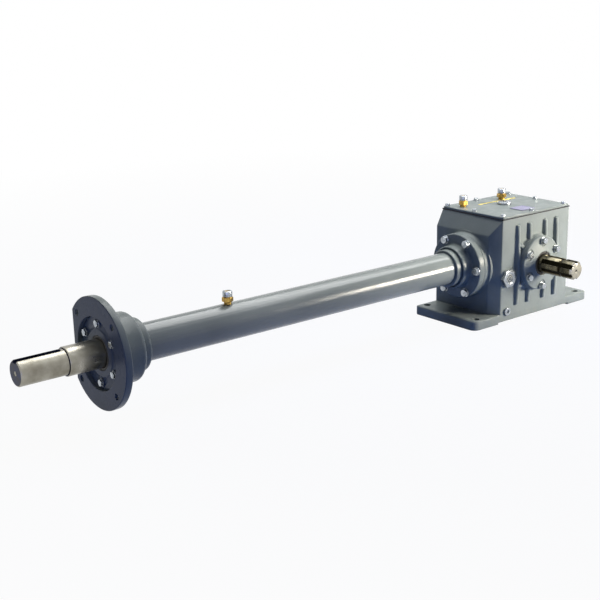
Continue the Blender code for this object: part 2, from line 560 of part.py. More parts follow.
def build_input_cover(input_holes):
    """Disc with a low cone round the shaft, spot-faced at its bolts; its spigot holds the bearing."""
    centre = (INPUT_X, 0, AXIS_HEIGHT)
    back, cone_face = -SIDE_FACE - SEAT_GAP, COVER_FACE - SIDE_COVER_CONE_HEIGHT
    spigot_end, seal_floor = back + SIDE_SPIGOT, cone_face + INPUT_SEAL_WIDTH + SEAT_GAP
    seal_seat, lip_way = INPUT_SEAL_RADIUS + SEAT_GAP, INPUT_BEARING_BORE + WALL / 4
    cover = turned("input_cover", "Y", [
        (cone_face, seal_seat), (cone_face, SIDE_COVER_CONE_TOP), (COVER_FACE, SIDE_COVER_CONE_BASE),
        (COVER_FACE, SIDE_COVER_RADIUS), (back, SIDE_COVER_RADIUS), (back, INPUT_BEARING_OUTER),
        (spigot_end, INPUT_BEARING_OUTER), (spigot_end, lip_way), (seal_floor, lip_way),
        (seal_floor, seal_seat),
    ], PAINT, centre, MEDIUM)

    def spots(bm):
        for x, y, z in input_bolt_seats():
            add_rod(bm, (x, y, z), (x, cone_face - CUT_MARGIN, z), SIDE_SPOT_RADIUS, 12)

    cut(cover, place("input_cover_spots", mesh_from("spots", spots)), input_holes)
    seal_face, seal_inner = cone_face, cone_face + INPUT_SEAL_WIDTH
    lip = INPUT_BEARING_BORE + RUNNING_GAP
    turned("input_seal", "Y", [
        (seal_face, lip), (seal_face, INPUT_SEAL_RADIUS), (seal_inner, INPUT_SEAL_RADIUS), (seal_inner, lip),
    ], RUBBER, centre, COARSE)


def build_rear_cap():
    """Plain cap pressed into the blind bearing bore behind the input shaft."""
    inner = BEARING_CUP_Y + SEAT_GAP
    outer = inner + REAR_CAP_THICKNESS
    turned("rear_cap", "Y", [
        (inner, 0), (inner, INPUT_BEARING_OUTER), (outer - SHAFT_CHAMFER, INPUT_BEARING_OUTER),
        (outer, INPUT_BEARING_OUTER - SHAFT_CHAMFER), (outer, 0),
    ], PAINT, (INPUT_X, 0, AXIS_HEIGHT), MEDIUM)


def bearing(name, axis, low, high, bore, outer, centre, wide_end_high):
    """Tapered roller bearing: the cup stays in its seat, the cone with its rollers turns with the shaft.
    It has as many sides as its seat, so that its corners clear the seat's flats."""
    middle, taper = (bore + outer) / 2, (outer - bore) / 12
    wide, narrow = middle + (outer - bore) / 4 + taper, middle + (outer - bore) / 4 - taper
    high_race, low_race = (wide, narrow) if wide_end_high else (narrow, wide)
    cup = [(high, high_race), (high, outer), (low, outer), (low, low_race)]
    race_gap = RUNNING_GAP
    cone = [(high, bore + SEAT_GAP), (high, high_race - race_gap), (low, low_race - race_gap),
            (low, bore + SEAT_GAP)]
    turned(f"{name}_cup", axis, cup, BEARING, centre)
    turned(f"{name}_cone", axis, cone, BEARING, centre)


def spline_gaps(bm_name, start, length):
    """Cutter for the spaces between straight-sided spline teeth."""
    pitch, half_width, outer = 2 * math.pi / SPLINE_TEETH, SPLINE_TOOTH_WIDTH / 2, SPLINE_RADIUS * 1.3

    def flank(tooth, side, radius):
        angle, along = tooth * pitch, math.sqrt(radius**2 - half_width**2)
        return (along * math.cos(angle) - side * half_width * math.sin(angle),
                along * math.sin(angle) + side * half_width * math.cos(angle))

    outlines = []
    for tooth in range(SPLINE_TEETH):
        middle = (tooth + 0.5) * pitch
        root = (SPLINE_ROOT_RADIUS * math.cos(middle), SPLINE_ROOT_RADIUS * math.sin(middle))
        outlines.append([flank(tooth, 1, SPLINE_ROOT_RADIUS), flank(tooth, 1, outer),
                         flank(tooth + 1, -1, outer), flank(tooth + 1, -1, SPLINE_ROOT_RADIUS), root])
    gaps = place(bm_name, outline_mesh(bm_name, outlines, length))
    gaps.rotation_euler = (math.pi / 2, 0, 0)
    gaps.location = (INPUT_X, start + length / 2, AXIS_HEIGHT)
    return gaps


def build_input_shaft():
    centre, rear_end = (INPUT_X, 0, AXIS_HEIGHT), BEARING_CUP_Y - SEAT_GAP
    core_end = BEARING_CUP_Y - INPUT_BEARING_WIDTH - SEAT_GAP
    core_start = -OUTPUT_PITCH_RADIUS + FACE_WIDTH + SEAT_GAP
    groove = INPUT_END + SPLINE_GROOVE_FROM_END
    half_groove = SPLINE_GROOVE_WIDTH / 2
    shaft = turned("input_shaft", "Y", [
        (rear_end, 0), (rear_end, INPUT_BEARING_BORE), (core_end, INPUT_BEARING_BORE),
        (core_end, INPUT_CORE_RADIUS), (core_start, INPUT_CORE_RADIUS), (core_start, INPUT_BEARING_BORE),
        (INPUT_END + SPLINE_LENGTH, INPUT_BEARING_BORE), (INPUT_END + SPLINE_LENGTH, SPLINE_RADIUS),
        (groove + half_groove, SPLINE_RADIUS), (groove + half_groove / 2, SPLINE_GROOVE_RADIUS),
        (groove - half_groove / 2, SPLINE_GROOVE_RADIUS), (groove - half_groove, SPLINE_RADIUS),
        (INPUT_END + SHAFT_CHAMFER, SPLINE_RADIUS), (INPUT_END, SPLINE_RADIUS - SHAFT_CHAMFER),
        (INPUT_END, CENTRE_HOLE_RADIUS), (INPUT_END + CENTRE_HOLE_DEPTH, 0),
    ], STEEL, centre, MEDIUM)
    cut(shaft, spline_gaps("spline_gaps", INPUT_END - CUT_MARGIN, SPLINE_LENGTH + CUT_MARGIN))
    cup_outer, cup_inner = BEARING_CUP_Y, BEARING_CUP_Y - INPUT_BEARING_WIDTH
    for name, side in (("input_bearing_front", -1), ("input_bearing_rear", 1)):
        low, high = sorted((side * cup_inner, side * cup_outer))
        bearing(name, "Y", low, high, INPUT_BEARING_BORE, INPUT_BEARING_OUTER, centre, side < 0)


# ---------------------------------------------------------------- output side
def adapter_bolt_seats():
    return [(ADAPTER_FACE, y, AXIS_HEIGHT + z) for y, z in circle_points(ADAPTER_BOLT_CIRCLE, 6)]


def retainer_bolt_seats():
    return [(RETAINER_FACE, y, AXIS_HEIGHT + z) for y, z in circle_points(RETAINER_BOLT_CIRCLE, 6, 30)]


def build_adapter(holes):
    """Flanged adapter: spigot and inner bearing seat in the housing, collar and sleeve round the tube."""
    flange_back = PANEL_FACE - SEAT_GAP
    seat_radius, seat_floor = OUTPUT_BEARING_OUTER + SEAT_GAP, SPIGOT_END - OUTPUT_BEARING_WIDTH - SEAT_GAP
    shaft_way, socket_floor = BEARING_LAND + WALL / 4, TUBE_REAR + SEAT_GAP
    adapter = turned("tube_adapter", "X", [
        (SPIGOT_END, seat_radius), (SPIGOT_END, PANEL_BORE_RADIUS), (flange_back, PANEL_BORE_RADIUS),
        (flange_back, ADAPTER_RADIUS), (ADAPTER_FACE, ADAPTER_RADIUS), (ADAPTER_FACE, COLLAR_RADIUS),
        (COLLAR_END, COLLAR_RADIUS), (COLLAR_END, SLEEVE_RADIUS + GROOVE_WIDTH),
        (COLLAR_END + GROOVE_DEPTH, SLEEVE_RADIUS + GROOVE_WIDTH),
        (COLLAR_END + GROOVE_DEPTH, SLEEVE_RADIUS), (SLEEVE_END, SLEEVE_RADIUS),
        (SLEEVE_END, TUBE_RADIUS + SEAT_GAP), (socket_floor, TUBE_RADIUS + SEAT_GAP),
        (socket_floor, shaft_way), (seat_floor, shaft_way), (seat_floor, seat_radius),
    ], PAINT, (0, 0, AXIS_HEIGHT), MEDIUM)
    cut(adapter, holes)


def build_tube():
    bore = TUBE_RADIUS - TUBE_WALL
    tube = turned("extension_tube", "X", [
        (TUBE_REAR, bore), (TUBE_REAR, TUBE_RADIUS), (TUBE_FRONT, TUBE_RADIUS), (TUBE_FRONT, bore),
    ], PAINT, (0, 0, AXIS_HEIGHT), MEDIUM)
    seat = AXIS_HEIGHT + TUBE_RADIUS

    def port(bm):
        add_rod(bm, (TUBE_BREATHER_X, 0, AXIS_HEIGHT + bore / 2), (TUBE_BREATHER_X, 0, seat + CUT_MARGIN),
                BREATHER_SHANK_RADIUS + SEAT_GAP, 16)

    cut(tube, place("tube_port", mesh_from("tube_port", port)))
    build_breather("breather_3", (TUBE_BREATHER_X, 0, seat + SEAT_GAP), TUBE_WALL - SEAT_GAP)


def rounded_step(x, radius, size, steps=2):
    """Profile points rounding the outer corner at the end x of a step of this radius, towards +X."""
    angles = [math.pi / 2 * i / steps for i in range(steps + 1)]
    return [(x - size + size * math.cos(a), radius - size + size * math.sin(a)) for a in angles]


def build_output_flange(holes):
    """Mounting flange with one flat, stepped hub and neck behind it, and the outer bearing seat."""
    seat_radius = OUTPUT_BEARING_OUTER + SEAT_GAP
    seat_floor = RECESS_FLOOR + RETAINER_SPIGOT + OUTPUT_BEARING_WIDTH + SEAT_GAP
    shaft_way, socket_floor = SHAFT_BODY_RADIUS + WALL / 4, TUBE_FRONT - SEAT_GAP
    flange = turned("output_flange", "X", [
        (NECK_END, TUBE_RADIUS + SEAT_GAP), *rounded_step(NECK_END, NECK_RADIUS, NECK_ROUND),
        (HUB_END, NECK_RADIUS), *rounded_step(HUB_END, HUB_RADIUS, HUB_ROUND),
        (FLANGE_BACK, HUB_RADIUS), (FLANGE_BACK, FLANGE_RADIUS), (FLANGE_FACE_X, FLANGE_RADIUS),
        (FLANGE_FACE_X, FLANGE_RECESS_RADIUS), (RECESS_FLOOR, FLANGE_RECESS_RADIUS),
        (RECESS_FLOOR, seat_radius),
        (seat_floor, seat_radius), (seat_floor, shaft_way), (socket_floor, shaft_way),
        (socket_floor, TUBE_RADIUS + SEAT_GAP),
    ], PAINT, (0, 0, AXIS_HEIGHT), FINE)

    def flat_and_holes(bm):
        margin = FLANGE_RADIUS + CUT_MARGIN
        add_box(bm, (FLANGE_FACE_X - CUT_MARGIN, FLANGE_FLAT, AXIS_HEIGHT - margin),
                (FLANGE_BACK + CUT_MARGIN, margin, AXIS_HEIGHT + margin))
        for y, z in circle_points(FLANGE_HOLE_CIRCLE, 4, 45):
            start = (FLANGE_FACE_X - CUT_MARGIN, y, AXIS_HEIGHT + z)
            end = (FLANGE_BACK + CUT_MARGIN, y, AXIS_HEIGHT + z)
            add_rod(bm, start, end, FLANGE_HOLE_RADIUS, 16)

    cut(flange, place("flange_cuts", mesh_from("flange_cuts", flat_and_holes)), holes)
    build_retainer(holes)


def build_retainer(holes):
    """Seal carrier bolted in the flange recess; its spigot holds the outer bearing."""
    back, spigot_end = RECESS_FLOOR - SEAT_GAP, RECESS_FLOOR + RETAINER_SPIGOT - 2 * SEAT_GAP
    seal_seat, lip_way = OUTPUT_SEAL_RADIUS + SEAT_GAP, BEARING_LAND + WALL / 4
    seal_floor = RETAINER_FACE + OUTPUT_SEAL_WIDTH + SEAT_GAP
    retainer = turned("seal_retainer", "X", [
        (spigot_end, lip_way), (spigot_end, OUTPUT_BEARING_OUTER), (back, OUTPUT_BEARING_OUTER),
        (back, FLANGE_RECESS_RADIUS - SEAT_GAP), (RETAINER_FACE, FLANGE_RECESS_RADIUS - SEAT_GAP),
        (RETAINER_FACE, seal_seat), (seal_floor, seal_seat), (seal_floor, lip_way),
    ], PAINT, (0, 0, AXIS_HEIGHT), MEDIUM)
    cut(retainer, holes)
    lip = BEARING_LAND + RUNNING_GAP
    turned("output_seal", "X", [
        (RETAINER_FACE + OUTPUT_SEAL_WIDTH, lip), (RETAINER_FACE + OUTPUT_SEAL_WIDTH, OUTPUT_SEAL_RADIUS),
        (RETAINER_FACE, OUTPUT_SEAL_RADIUS), (RETAINER_FACE, lip),
    ], RUBBER, (0, 0, AXIS_HEIGHT), COARSE)


def build_output_shaft():
    centre = (0, 0, AXIS_HEIGHT)
    gear_end = INPUT_X - INPUT_PITCH_RADIUS + toe_depth() - SHAFT_END_GAP
    outer_low = RECESS_FLOOR + RETAINER_SPIGOT
    outer_high = outer_low + OUTPUT_BEARING_WIDTH
    shoulder, end = FLANGE_FACE_X - LAND_REACH, FLANGE_FACE_X - LAND_REACH - KEYED_LENGTH
    inner_low = SPIGOT_END - OUTPUT_BEARING_WIDTH
    shaft = turned("output_shaft", "X", [
        (gear_end, 0), (gear_end, BEARING_LAND), (inner_low, BEARING_LAND), (inner_low, SHAFT_BODY_RADIUS),
        (outer_high, SHAFT_BODY_RADIUS), (outer_high, BEARING_LAND),
        (shoulder + SHAFT_CHAMFER, BEARING_LAND), (shoulder, BEARING_LAND - SHAFT_CHAMFER / 2),
        (shoulder, KEYED_RADIUS), (end + SHAFT_CHAMFER, KEYED_RADIUS),
        (end, KEYED_RADIUS - SHAFT_CHAMFER), (end, CENTRE_HOLE_RADIUS), (end + CENTRE_HOLE_DEPTH, 0),
    ], STEEL, centre, MEDIUM)
    half, round_x = KEY_WIDTH / 2, end + KEYWAY_LENGTH - KEY_WIDTH / 2
    angles = [math.pi / 2 - math.pi * i / 8 for i in range(9)]
    outline = [(end - CUT_MARGIN, -half), (end - CUT_MARGIN, half)]
    outline += [(round_x + half * math.cos(a), half * math.sin(a)) for a in angles]
    keyway = place("keyway", outline_mesh("keyway", [outline], 2 * KEY_DEPTH))
    keyway.location = (0, 0, AXIS_HEIGHT + KEYED_RADIUS)
    cut(shaft, keyway)
    bearing("output_bearing_inner", "X", inner_low, SPIGOT_END - SEAT_GAP, OUTPUT_BEARING_BORE,
            OUTPUT_BEARING_OUTER, centre, True)
    bearing("output_bearing_outer", "X", outer_low, outer_high, OUTPUT_BEARING_BORE,
            OUTPUT_BEARING_OUTER, centre, False)


# ---------------------------------------------------------------- bevel gears
def cone_distance():
    return math.hypot(INPUT_PITCH_RADIUS, OUTPUT_PITCH_RADIUS)


def toe_depth():
    """How far the teeth's small ends lie from their large ends along the output axis."""
    return INPUT_PITCH_RADIUS * FACE_WIDTH / cone_distance()


def tooth_ring(teeth, mate_teeth, phase):
    """(radius, angle, axial place) round the large end of a straight bevel gear with involute flanks,
    its pitch cones' common point at 0 and its back towards +Z."""
    radius, axial = MODULE * teeth / 2, MODULE * mate_teeth / 2
    cone = math.atan2(radius, axial)
    virtual = radius / math.cos(cone)
    base = virtual * math.cos(PRESSURE_ANGLE)
    half_thickness = (math.pi * MODULE / 2 - BACKLASH) / (2 * virtual)
    involute = math.tan(PRESSURE_ANGLE) - PRESSURE_ANGLE
    heights = (-DEDENDUM * MODULE, ADDENDUM * MODULE)
    flank = []
    for height in heights:
        rho = virtual + height
        angle = math.acos(min(1.0, base / rho))
        half = half_thickness + involute - (math.tan(angle) - angle)
        flank.append((
            radius + height * math.cos(cone), half / math.cos(cone), axial - height * math.sin(cone),
        ))
    ring = []
    for tooth in range(teeth):
        middle = 2 * math.pi * tooth / teeth + phase
        ring += [(r, middle - a, z) for r, a, z in flank]
        ring += [(r, middle + a, z) for r, a, z in reversed(flank)]
    return ring


def gear_mesh(name, teeth, mate_teeth, phase, bore, hub_radius, hub_end):
    """A loft through rings of equal count: bore, small end, large end, back and hub."""
    heel = tooth_ring(teeth, mate_teeth, phase)
    scale = 1 - FACE_WIDTH / cone_distance()
    toe = [(r * scale, a, z * scale) for r, a, z in heel]
    toe_z = max(z for _, _, z in toe)
    back_z = max(z for _, _, z in heel) + MODULE / 2
    rings = [
        [(bore, a, toe_z) for _, a, _ in heel], toe, heel, [(hub_radius, a, back_z) for _, a, _ in heel],
        [(hub_radius, a, hub_end) for _, a, _ in heel], [(bore, a, hub_end) for _, a, _ in heel],
    ]

    def fill(bm):
        loops = [[bm.verts.new((r * math.cos(a), r * math.sin(a), z)) for r, a, z in ring] for ring in rings]
        count = len(heel)
        for loop, following in zip(loops, loops[1:] + loops[:1]):
            for i in range(count):
                j = (i + 1) % count
                bm.faces.new((loop[i], loop[j], following[j], following[i]))
        bmesh.ops.recalc_face_normals(bm, faces=bm.faces)

    return mesh_from(name, fill)


def build_gears():
    """Both gears stand at the crossing of the axes, meshed along the line towards -X and -Y."""
    crossing = (INPUT_X, 0, AXIS_HEIGHT)
    pinion_hub = BEARING_CUP_Y - INPUT_BEARING_WIDTH - SEAT_GAP
    gear_hub = INPUT_X - SPIGOT_END
    pinion = gear_mesh("input_pinion", INPUT_TEETH, OUTPUT_TEETH, math.pi, INPUT_BEARING_BORE + SEAT_GAP,
                       PINION_HUB_RADIUS, pinion_hub)
    gear_phase = math.pi / OUTPUT_TEETH - math.pi / 2
    gear = gear_mesh("output_gear", OUTPUT_TEETH, INPUT_TEETH, gear_phase, BEARING_LAND + SEAT_GAP,
                     GEAR_HUB_RADIUS, gear_hub)
    place("input_pinion", pinion, STEEL, crossing, (math.pi / 2, 0, 0))
    place("output_gear", gear, STEEL, crossing, (0, -math.pi / 2, 0))


def main():
    adapter_holes = bolt_set("adapter_bolt", M8, ADAPTER_BOLT_LENGTH, adapter_bolt_seats(), (-1, 0, 0))
    input_holes = bolt_set("input_cover_bolt", M7, SIDE_BOLT_LENGTH, input_bolt_seats(), (0, -1, 0))
    cover_holes = bolt_set("top_cover_bolt", M5, COVER_BOLT_LENGTH, cover_bolt_seats(), (0, 0, 1))
    retainer_holes = bolt_set("retainer_bolt", M6, RETAINER_BOLT_LENGTH, retainer_bolt_seats(), (-1, 0, 0))
    build_housing([adapter_holes, input_holes, cover_holes])
    build_top(cover_holes)
    build_side_plugs()
    build_input_cover(input_holes)
    build_rear_cap()
    build_input_shaft()
    build_adapter(adapter_holes)
    build_tube()
    build_output_flange(retainer_holes)
    build_output_shaft()
    build_gears()


clear_scene()
PARTS = collection("bevel_gearbox")
CUTTERS = collection("cutters", hidden=True)
main()
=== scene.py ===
"""Right-angle bevel gearbox: the looks of every visible piece, and a plain studio round it."""

import math

import bmesh
import bpy
from mathutils import Matrix, Vector


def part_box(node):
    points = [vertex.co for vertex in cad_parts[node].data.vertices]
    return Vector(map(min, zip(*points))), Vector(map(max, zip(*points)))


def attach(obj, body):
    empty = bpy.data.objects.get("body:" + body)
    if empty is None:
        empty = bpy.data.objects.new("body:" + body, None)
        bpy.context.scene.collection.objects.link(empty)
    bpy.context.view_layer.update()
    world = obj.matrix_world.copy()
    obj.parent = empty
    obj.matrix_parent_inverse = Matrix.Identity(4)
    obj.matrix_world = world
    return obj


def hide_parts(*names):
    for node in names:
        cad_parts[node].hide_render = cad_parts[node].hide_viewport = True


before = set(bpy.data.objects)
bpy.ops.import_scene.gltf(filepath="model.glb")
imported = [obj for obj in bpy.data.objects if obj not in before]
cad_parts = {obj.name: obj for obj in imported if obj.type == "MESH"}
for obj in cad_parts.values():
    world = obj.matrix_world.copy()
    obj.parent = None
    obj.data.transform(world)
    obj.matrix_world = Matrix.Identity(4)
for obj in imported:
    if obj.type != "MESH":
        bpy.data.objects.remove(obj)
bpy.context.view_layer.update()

bl_info = {
    "name": "Bevel gearbox looks",
    "version": (1, 0, 0),
    "blender": (4, 5, 0),
    "location": "View3D > Sidebar > Gearbox",
    "description": "Models and finishes the pieces of a foot-mounted right-angle gearbox",
    "category": "Object",
}

GEARBOX, INPUT_BODY, OUTPUT_BODY = "gearbox", "input_shaft", "output_shaft"
MM = 0.001
SEAT_GAP = 0.3 * MM  # the frame's clearance between seated pieces
MERGE = 0.001 * MM
FLAT_TEST = 0.05 * MM  # how near a plane counts as lying on it
SAME_PLACE = 0.01 * MM


# ---------------------------------------------------------------- places read from the frame
def box(node):
    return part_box(node)


def middle(node):
    low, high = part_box(node)
    return (low + high) / 2


def half_height(node):
    low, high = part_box(node)
    return (high.z - low.z) / 2


AXIS_Z = middle("output_shaft").z
INPUT_X = middle("input_shaft").x
OUTPUT_CENTRE = (0, 0, AXIS_Z)
INPUT_CENTRE = (INPUT_X, 0, AXIS_Z)
COVER_LOW, COVER_HIGH = box("top_cover")
HOUSING_LOW, HOUSING_HIGH = box("housing")
HALF_WIDTH = COVER_HIGH.y
BODY_REAR, BODY_TOP = COVER_HIGH.x, HOUSING_HIGH.z
SIDE_FACE = HOUSING_HIGH.y  # |y| of the machined side bosses
ADAPTER_LOW, ADAPTER_HIGH = box("tube_adapter")
TUBE_LOW, TUBE_HIGH = box("extension_tube")
FLANGE_LOW, FLANGE_HIGH = box("output_flange")
RETAINER_LOW, RETAINER_HIGH = box("seal_retainer")
SHAFT_LOW, SHAFT_HIGH = box("output_shaft")
INPUT_LOW, INPUT_HIGH = box("input_shaft")
INPUT_COVER_LOW, INPUT_COVER_HIGH = box("input_cover")

# ---------------------------------------------------------------- sizes that the boxes don't give
PANEL_SLOPE_DEPTH, PANEL_TOP_MARGIN, PANEL_SIDE_MARGIN = COVER_LOW.x, 30 * MM, 20 * MM
WALL = 14 * MM
FOOT_THICKNESS, FOOT_NEAR_CORNER, FOOT_CORNER = 18 * MM, 14 * MM, 4 * MM
FOOT_HOLE_RADIUS, FOOT_HOLE_INSET_X, FOOT_HOLE_INSET_Y = 6.5 * MM, 18 * MM, 13 * MM
FOOT_RELIEF_DEPTH, FOOT_RELIEF_START, FOOT_RELIEF_END = 4 * MM, 10 * MM, 212 * MM
RIB_OFFSETS, RIB_SHIFT = (22 * MM, 54 * MM), 2.5 * MM
RIB_BASE, RIB_CREST, RIB_LOW, RIB_HIGH = 15 * MM, 5.5 * MM, 28 * MM, 187 * MM
RIB_HEIGHT, RIB_END_HEIGHT = 8 * MM, 5.5 * MM  # at mid length and at the ends
SIDE_BOSS, SIDE_BORE, SIDE_BOSS_FILLET = 52 * MM, 36.3 * MM, 5 * MM
PANEL_BOSS, PANEL_BOSS_HEIGHT, PANEL_BOSS_FILLET, PANEL_BORE = 60 * MM, 11 * MM, 4.5 * MM, 45.3 * MM
SIGHT_BORE, DRAIN_BORE = 10.3 * MM, 5.8 * MM
SIGHT_SPIN = 30  # degrees, which puts the hexagon's corners fore and aft
COVER_CORNER = 5 * MM
BOLT_HOLE_EXTRA = 0.4 * MM
KEYED_LENGTH = SPLINE_LENGTH = 76 * MM  # each shaft's end up to its shoulder
SPLINE_TOP, SPLINE_ROOT, SPLINE_TOOTH, SPLINE_GROOVE = 17.45 * MM, 14.45 * MM, 8.64 * MM, 28.5 * MM
KEYED_RADIUS, KEY_HALF_WIDTH, KEY_DEPTH, KEY_LENGTH = 20 * MM, 6 * MM, 5 * MM, 72 * MM
FLANGE_HOLE_CIRCLE, FLANGE_HOLE_RADIUS = 75 * MM, 5.1 * MM
BREATHER_SHANK_HOLE, FILLER_HOLE = 5.3 * MM, 9.3 * MM
STRIP_LOW, STRIP_HIGH, STRIP_TURN = (73 * MM, 33 * MM), (175 * MM, 38 * MM), math.radians(-1)

# across flats, head height, washer radius and thickness, shank radius
M8 = (13 * MM, 5.5 * MM, 8.0 * MM, 1.6 * MM, 4.0 * MM)
M7 = (11 * MM, 6.0 * MM, 6.8 * MM, 2.0 * MM, 3.5 * MM)
M5 = (8 * MM, 3.5 * MM, 5.0 * MM, 1.0 * MM, 2.5 * MM)
M6 = (10 * MM, 3.0 * MM, 5.8 * MM, 0.5 * MM, 3.0 * MM)

# ---------------------------------------------------------------- camera
CAMERA_PLACE = (-1.53386, -1.44829, 0.64386)
CAMERA_HEADING, CAMERA_PITCH, CAMERA_ROLL = (math.radians(angle) for angle in (51.92, 16.09, -1.35))
FOCAL_LENGTH_MM, SENSOR_MM = 68.32, 36.0

# ---------------------------------------------------------------- floor
WHITE = (1, 1, 1, 1)
FLOOR_SIZE = 200
SHADOW_NEAR, SHADOW_FAR = 0.7, 2.2  # the floor's shadow fades out between these distances, in metres


# ---------------------------------------------------------------- modelling helpers
def deselect():
    if bpy.context.object and bpy.context.object.mode != "OBJECT":
        bpy.ops.object.mode_set(mode="OBJECT")
    bpy.ops.object.select_all(action="DESELECT")


def use(obj):
    deselect()
    obj.select_set(True)
    bpy.context.view_layer.objects.active = obj
    return obj


def new_piece(name):
    """Names the primitive that was just added and moves its place into its mesh."""
    obj = bpy.context.active_object
    obj.name = name
    bpy.ops.object.transform_apply(location=True, rotation=True, scale=True)
    return obj


def settle(obj):
    use(obj)
    bpy.ops.object.transform_apply(location=True, rotation=True, scale=True)
    return obj


def apply_modifier(obj, kind, **settings):
    modifier = obj.modifiers.new(kind.lower(), kind)
    for key, value in settings.items():
        setattr(modifier, key, value)
    use(obj)
    bpy.ops.object.modifier_apply(modifier=modifier.name)
    return obj


def combine(obj, operation, others):
    for other in others:
        apply_modifier(obj, "BOOLEAN", operation=operation, object=other, solver="EXACT")
        bpy.data.objects.remove(other)
    return obj


def add(obj, *others):
    return combine(obj, "UNION", others)


def cut(obj, *others):
    return combine(obj, "DIFFERENCE", others)


def joined(pieces):
    """Several separate pieces as one object."""
    deselect()
    for piece in pieces:
        piece.select_set(True)
    bpy.context.view_layer.objects.active = pieces[0]
    if len(pieces) > 1:
        bpy.ops.object.join()
    return pieces[0]


def round_edges(obj, width, segments=2, angle=35):
    return apply_modifier(
        obj, "BEVEL", width=width, segments=segments, limit_method="ANGLE", angle_limit=math.radians(angle)
    )


def smooth(obj, angle=32):
    use(obj)
    bpy.ops.object.shade_smooth_by_angle(angle=math.radians(angle))
    return obj


def pick(obj, kind, test):
    """Edit mode with the edges or faces that pass the test selected."""
    use(obj)
    bpy.ops.object.mode_set(mode="EDIT")
    bpy.ops.mesh.select_mode(type=kind)
    bpy.ops.mesh.select_all(action="DESELECT")
    shape = bmesh.from_edit_mesh(obj.data)
    for item in shape.edges if kind == "EDGE" else shape.faces:
        item.select_set(bool(test(item)))
    shape.select_flush_mode()
    bmesh.update_edit_mesh(obj.data)


def block(name, low, high):
    low, high = Vector(low), Vector(high)
    deselect()
    bpy.ops.mesh.primitive_cube_add(size=1, location=(low + high) / 2)
    bpy.context.active_object.scale = high - low
    return new_piece(name)


def bevel_where(obj, width, segments, test):
    """Rounds the edges whose two ends pass the test."""
    pick(obj, "EDGE", lambda edge: all(test(vert.co) for vert in edge.verts))
    bpy.ops.mesh.bevel(offset=width, segments=segments, affect="EDGES")
    deselect()
    return obj


TURNS = {"X": (0, math.pi / 2, 0), "Y": (-math.pi / 2, 0, 0), "Z": (0, 0, 0)}


def turned(name, axis, centre, profile, sides=96, hollow=False):
    """A turned piece: a ring is extruded and scaled from point to point of (place, radius)."""
    deselect()
    place, radius = profile[0]
    bpy.ops.mesh.primitive_circle_add(vertices=sides, radius=radius, location=(0, 0, place))
    obj = new_piece(name)
    bpy.ops.object.mode_set(mode="EDIT")
    bpy.ops.mesh.select_all(action="SELECT")
    for next_place, next_radius in profile[1:] + (profile[:1] if hollow else []):
        bpy.ops.mesh.extrude_edges_move(TRANSFORM_OT_translate={"value": (0, 0, next_place - place)})
        scale = next_radius / radius
        bpy.ops.transform.resize(value=(scale, scale, 1), center_override=(0, 0, next_place))
        place, radius = next_place, next_radius
    bpy.ops.mesh.select_all(action="SELECT")
    if hollow:
        bpy.ops.mesh.remove_doubles(threshold=MERGE)
    else:
        bpy.ops.mesh.fill_holes(sides=0)
        bpy.ops.mesh.select_all(action="SELECT")
    bpy.ops.mesh.normals_make_consistent(inside=False)
    bpy.ops.object.mode_set(mode="OBJECT")
    obj.rotation_euler = TURNS[axis]
    obj.location = centre
    return settle(obj)


def rod(name, axis, centre, start, end, radius, sides=32):
    return turned(name, axis, centre, [(start, radius), (end, radius)], sides)


def arc(place, radius, size, towards, steps=5):
    """Profile points that round an outer corner; towards is +1 or -1 along the axis."""
    points = []
    for step in range(steps + 1):
        angle = math.pi / 2 * step / steps
        points.append((place - towards * size * (1 - math.cos(angle)), radius - size * (1 - math.sin(angle))))
    return points


def fillet(place, radius, size, towards, steps=6):
    """Profile points of a concave fillet from a flat at place up to a round of this radius."""
    points = []
    for step in range(steps + 1):
        angle = math.pi / 2 * step / steps
        points.append((place + towards * size * (1 - math.cos(angle)), radius + size * (1 - math.sin(angle))))
    return points


def copy_of(obj, name, matrix):
    made = obj.copy()
    made.data = obj.data.copy()
    made.name = name
    bpy.context.collection.objects.link(made)
    made.matrix_world = matrix
    return settle(made)


def dress(obj, material, body, nodes=()):
    """Gives a finished piece its material, the body it rides on and the nodes it stands for."""
    obj.data.materials.clear()
    obj.data.materials.append(material)
    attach(obj, body)
    if nodes:
        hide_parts(*nodes)
    return obj


# ---------------------------------------------------------------- material helpers
def colour(code):
    """Linear colour of an sRGB hex value."""
    values = [int(code[i:i + 2], 16) / 255 for i in (1, 3, 5)]
    return (*[v / 12.92 if v <= 0.04045 else ((v + 0.055) / 1.055) ** 2.4 for v in values], 1)


def node(owner, kind, settings=None, **links):
    """Adds a node. settings go on the node, and stops on its ramp; links give each input a socket or a value.

    An input is named, with _ for a space, or numbered, as i0, where inputs share a name.
    """
    made = owner.node_tree.nodes.new("ShaderNode" + kind)
    settings = dict(settings or {})
    stops = settings.pop("stops", ())
    for key, value in settings.items():
        setattr(made, key, value)
    while stops and len(made.color_ramp.elements) < len(stops):
        made.color_ramp.elements.new(0.5)
    for index, (place, value) in enumerate(stops):
        element = made.color_ramp.elements[index]
        element.position = place
        element.color = colour(value) if isinstance(value, str) else (value, value, value, 1)
    for key, value in links.items():
        numbered = key[0] == "i" and key[1:].isdigit()
        socket = made.inputs[int(key[1:]) if numbered else key.replace("_", " ")]
        if isinstance(value, bpy.types.NodeSocket):
            owner.node_tree.links.new(value, socket)
        else:
            socket.default_value = value
    return made


def grain(material, grain_mm, detail=3.0, stretch=(1, 1, 1), roughness=0.5):
    """A noise pattern on object coordinates whose features are about grain_mm across."""
    place = node(material, "TexCoord").outputs["Object"]
    place = node(material, "Mapping", None, Vector=place, Scale=stretch).outputs["Vector"]
    return node(material, "TexNoise", None, Vector=place, Scale=1000 / grain_mm, Detail=detail,
                Roughness=roughness).outputs["Fac"]


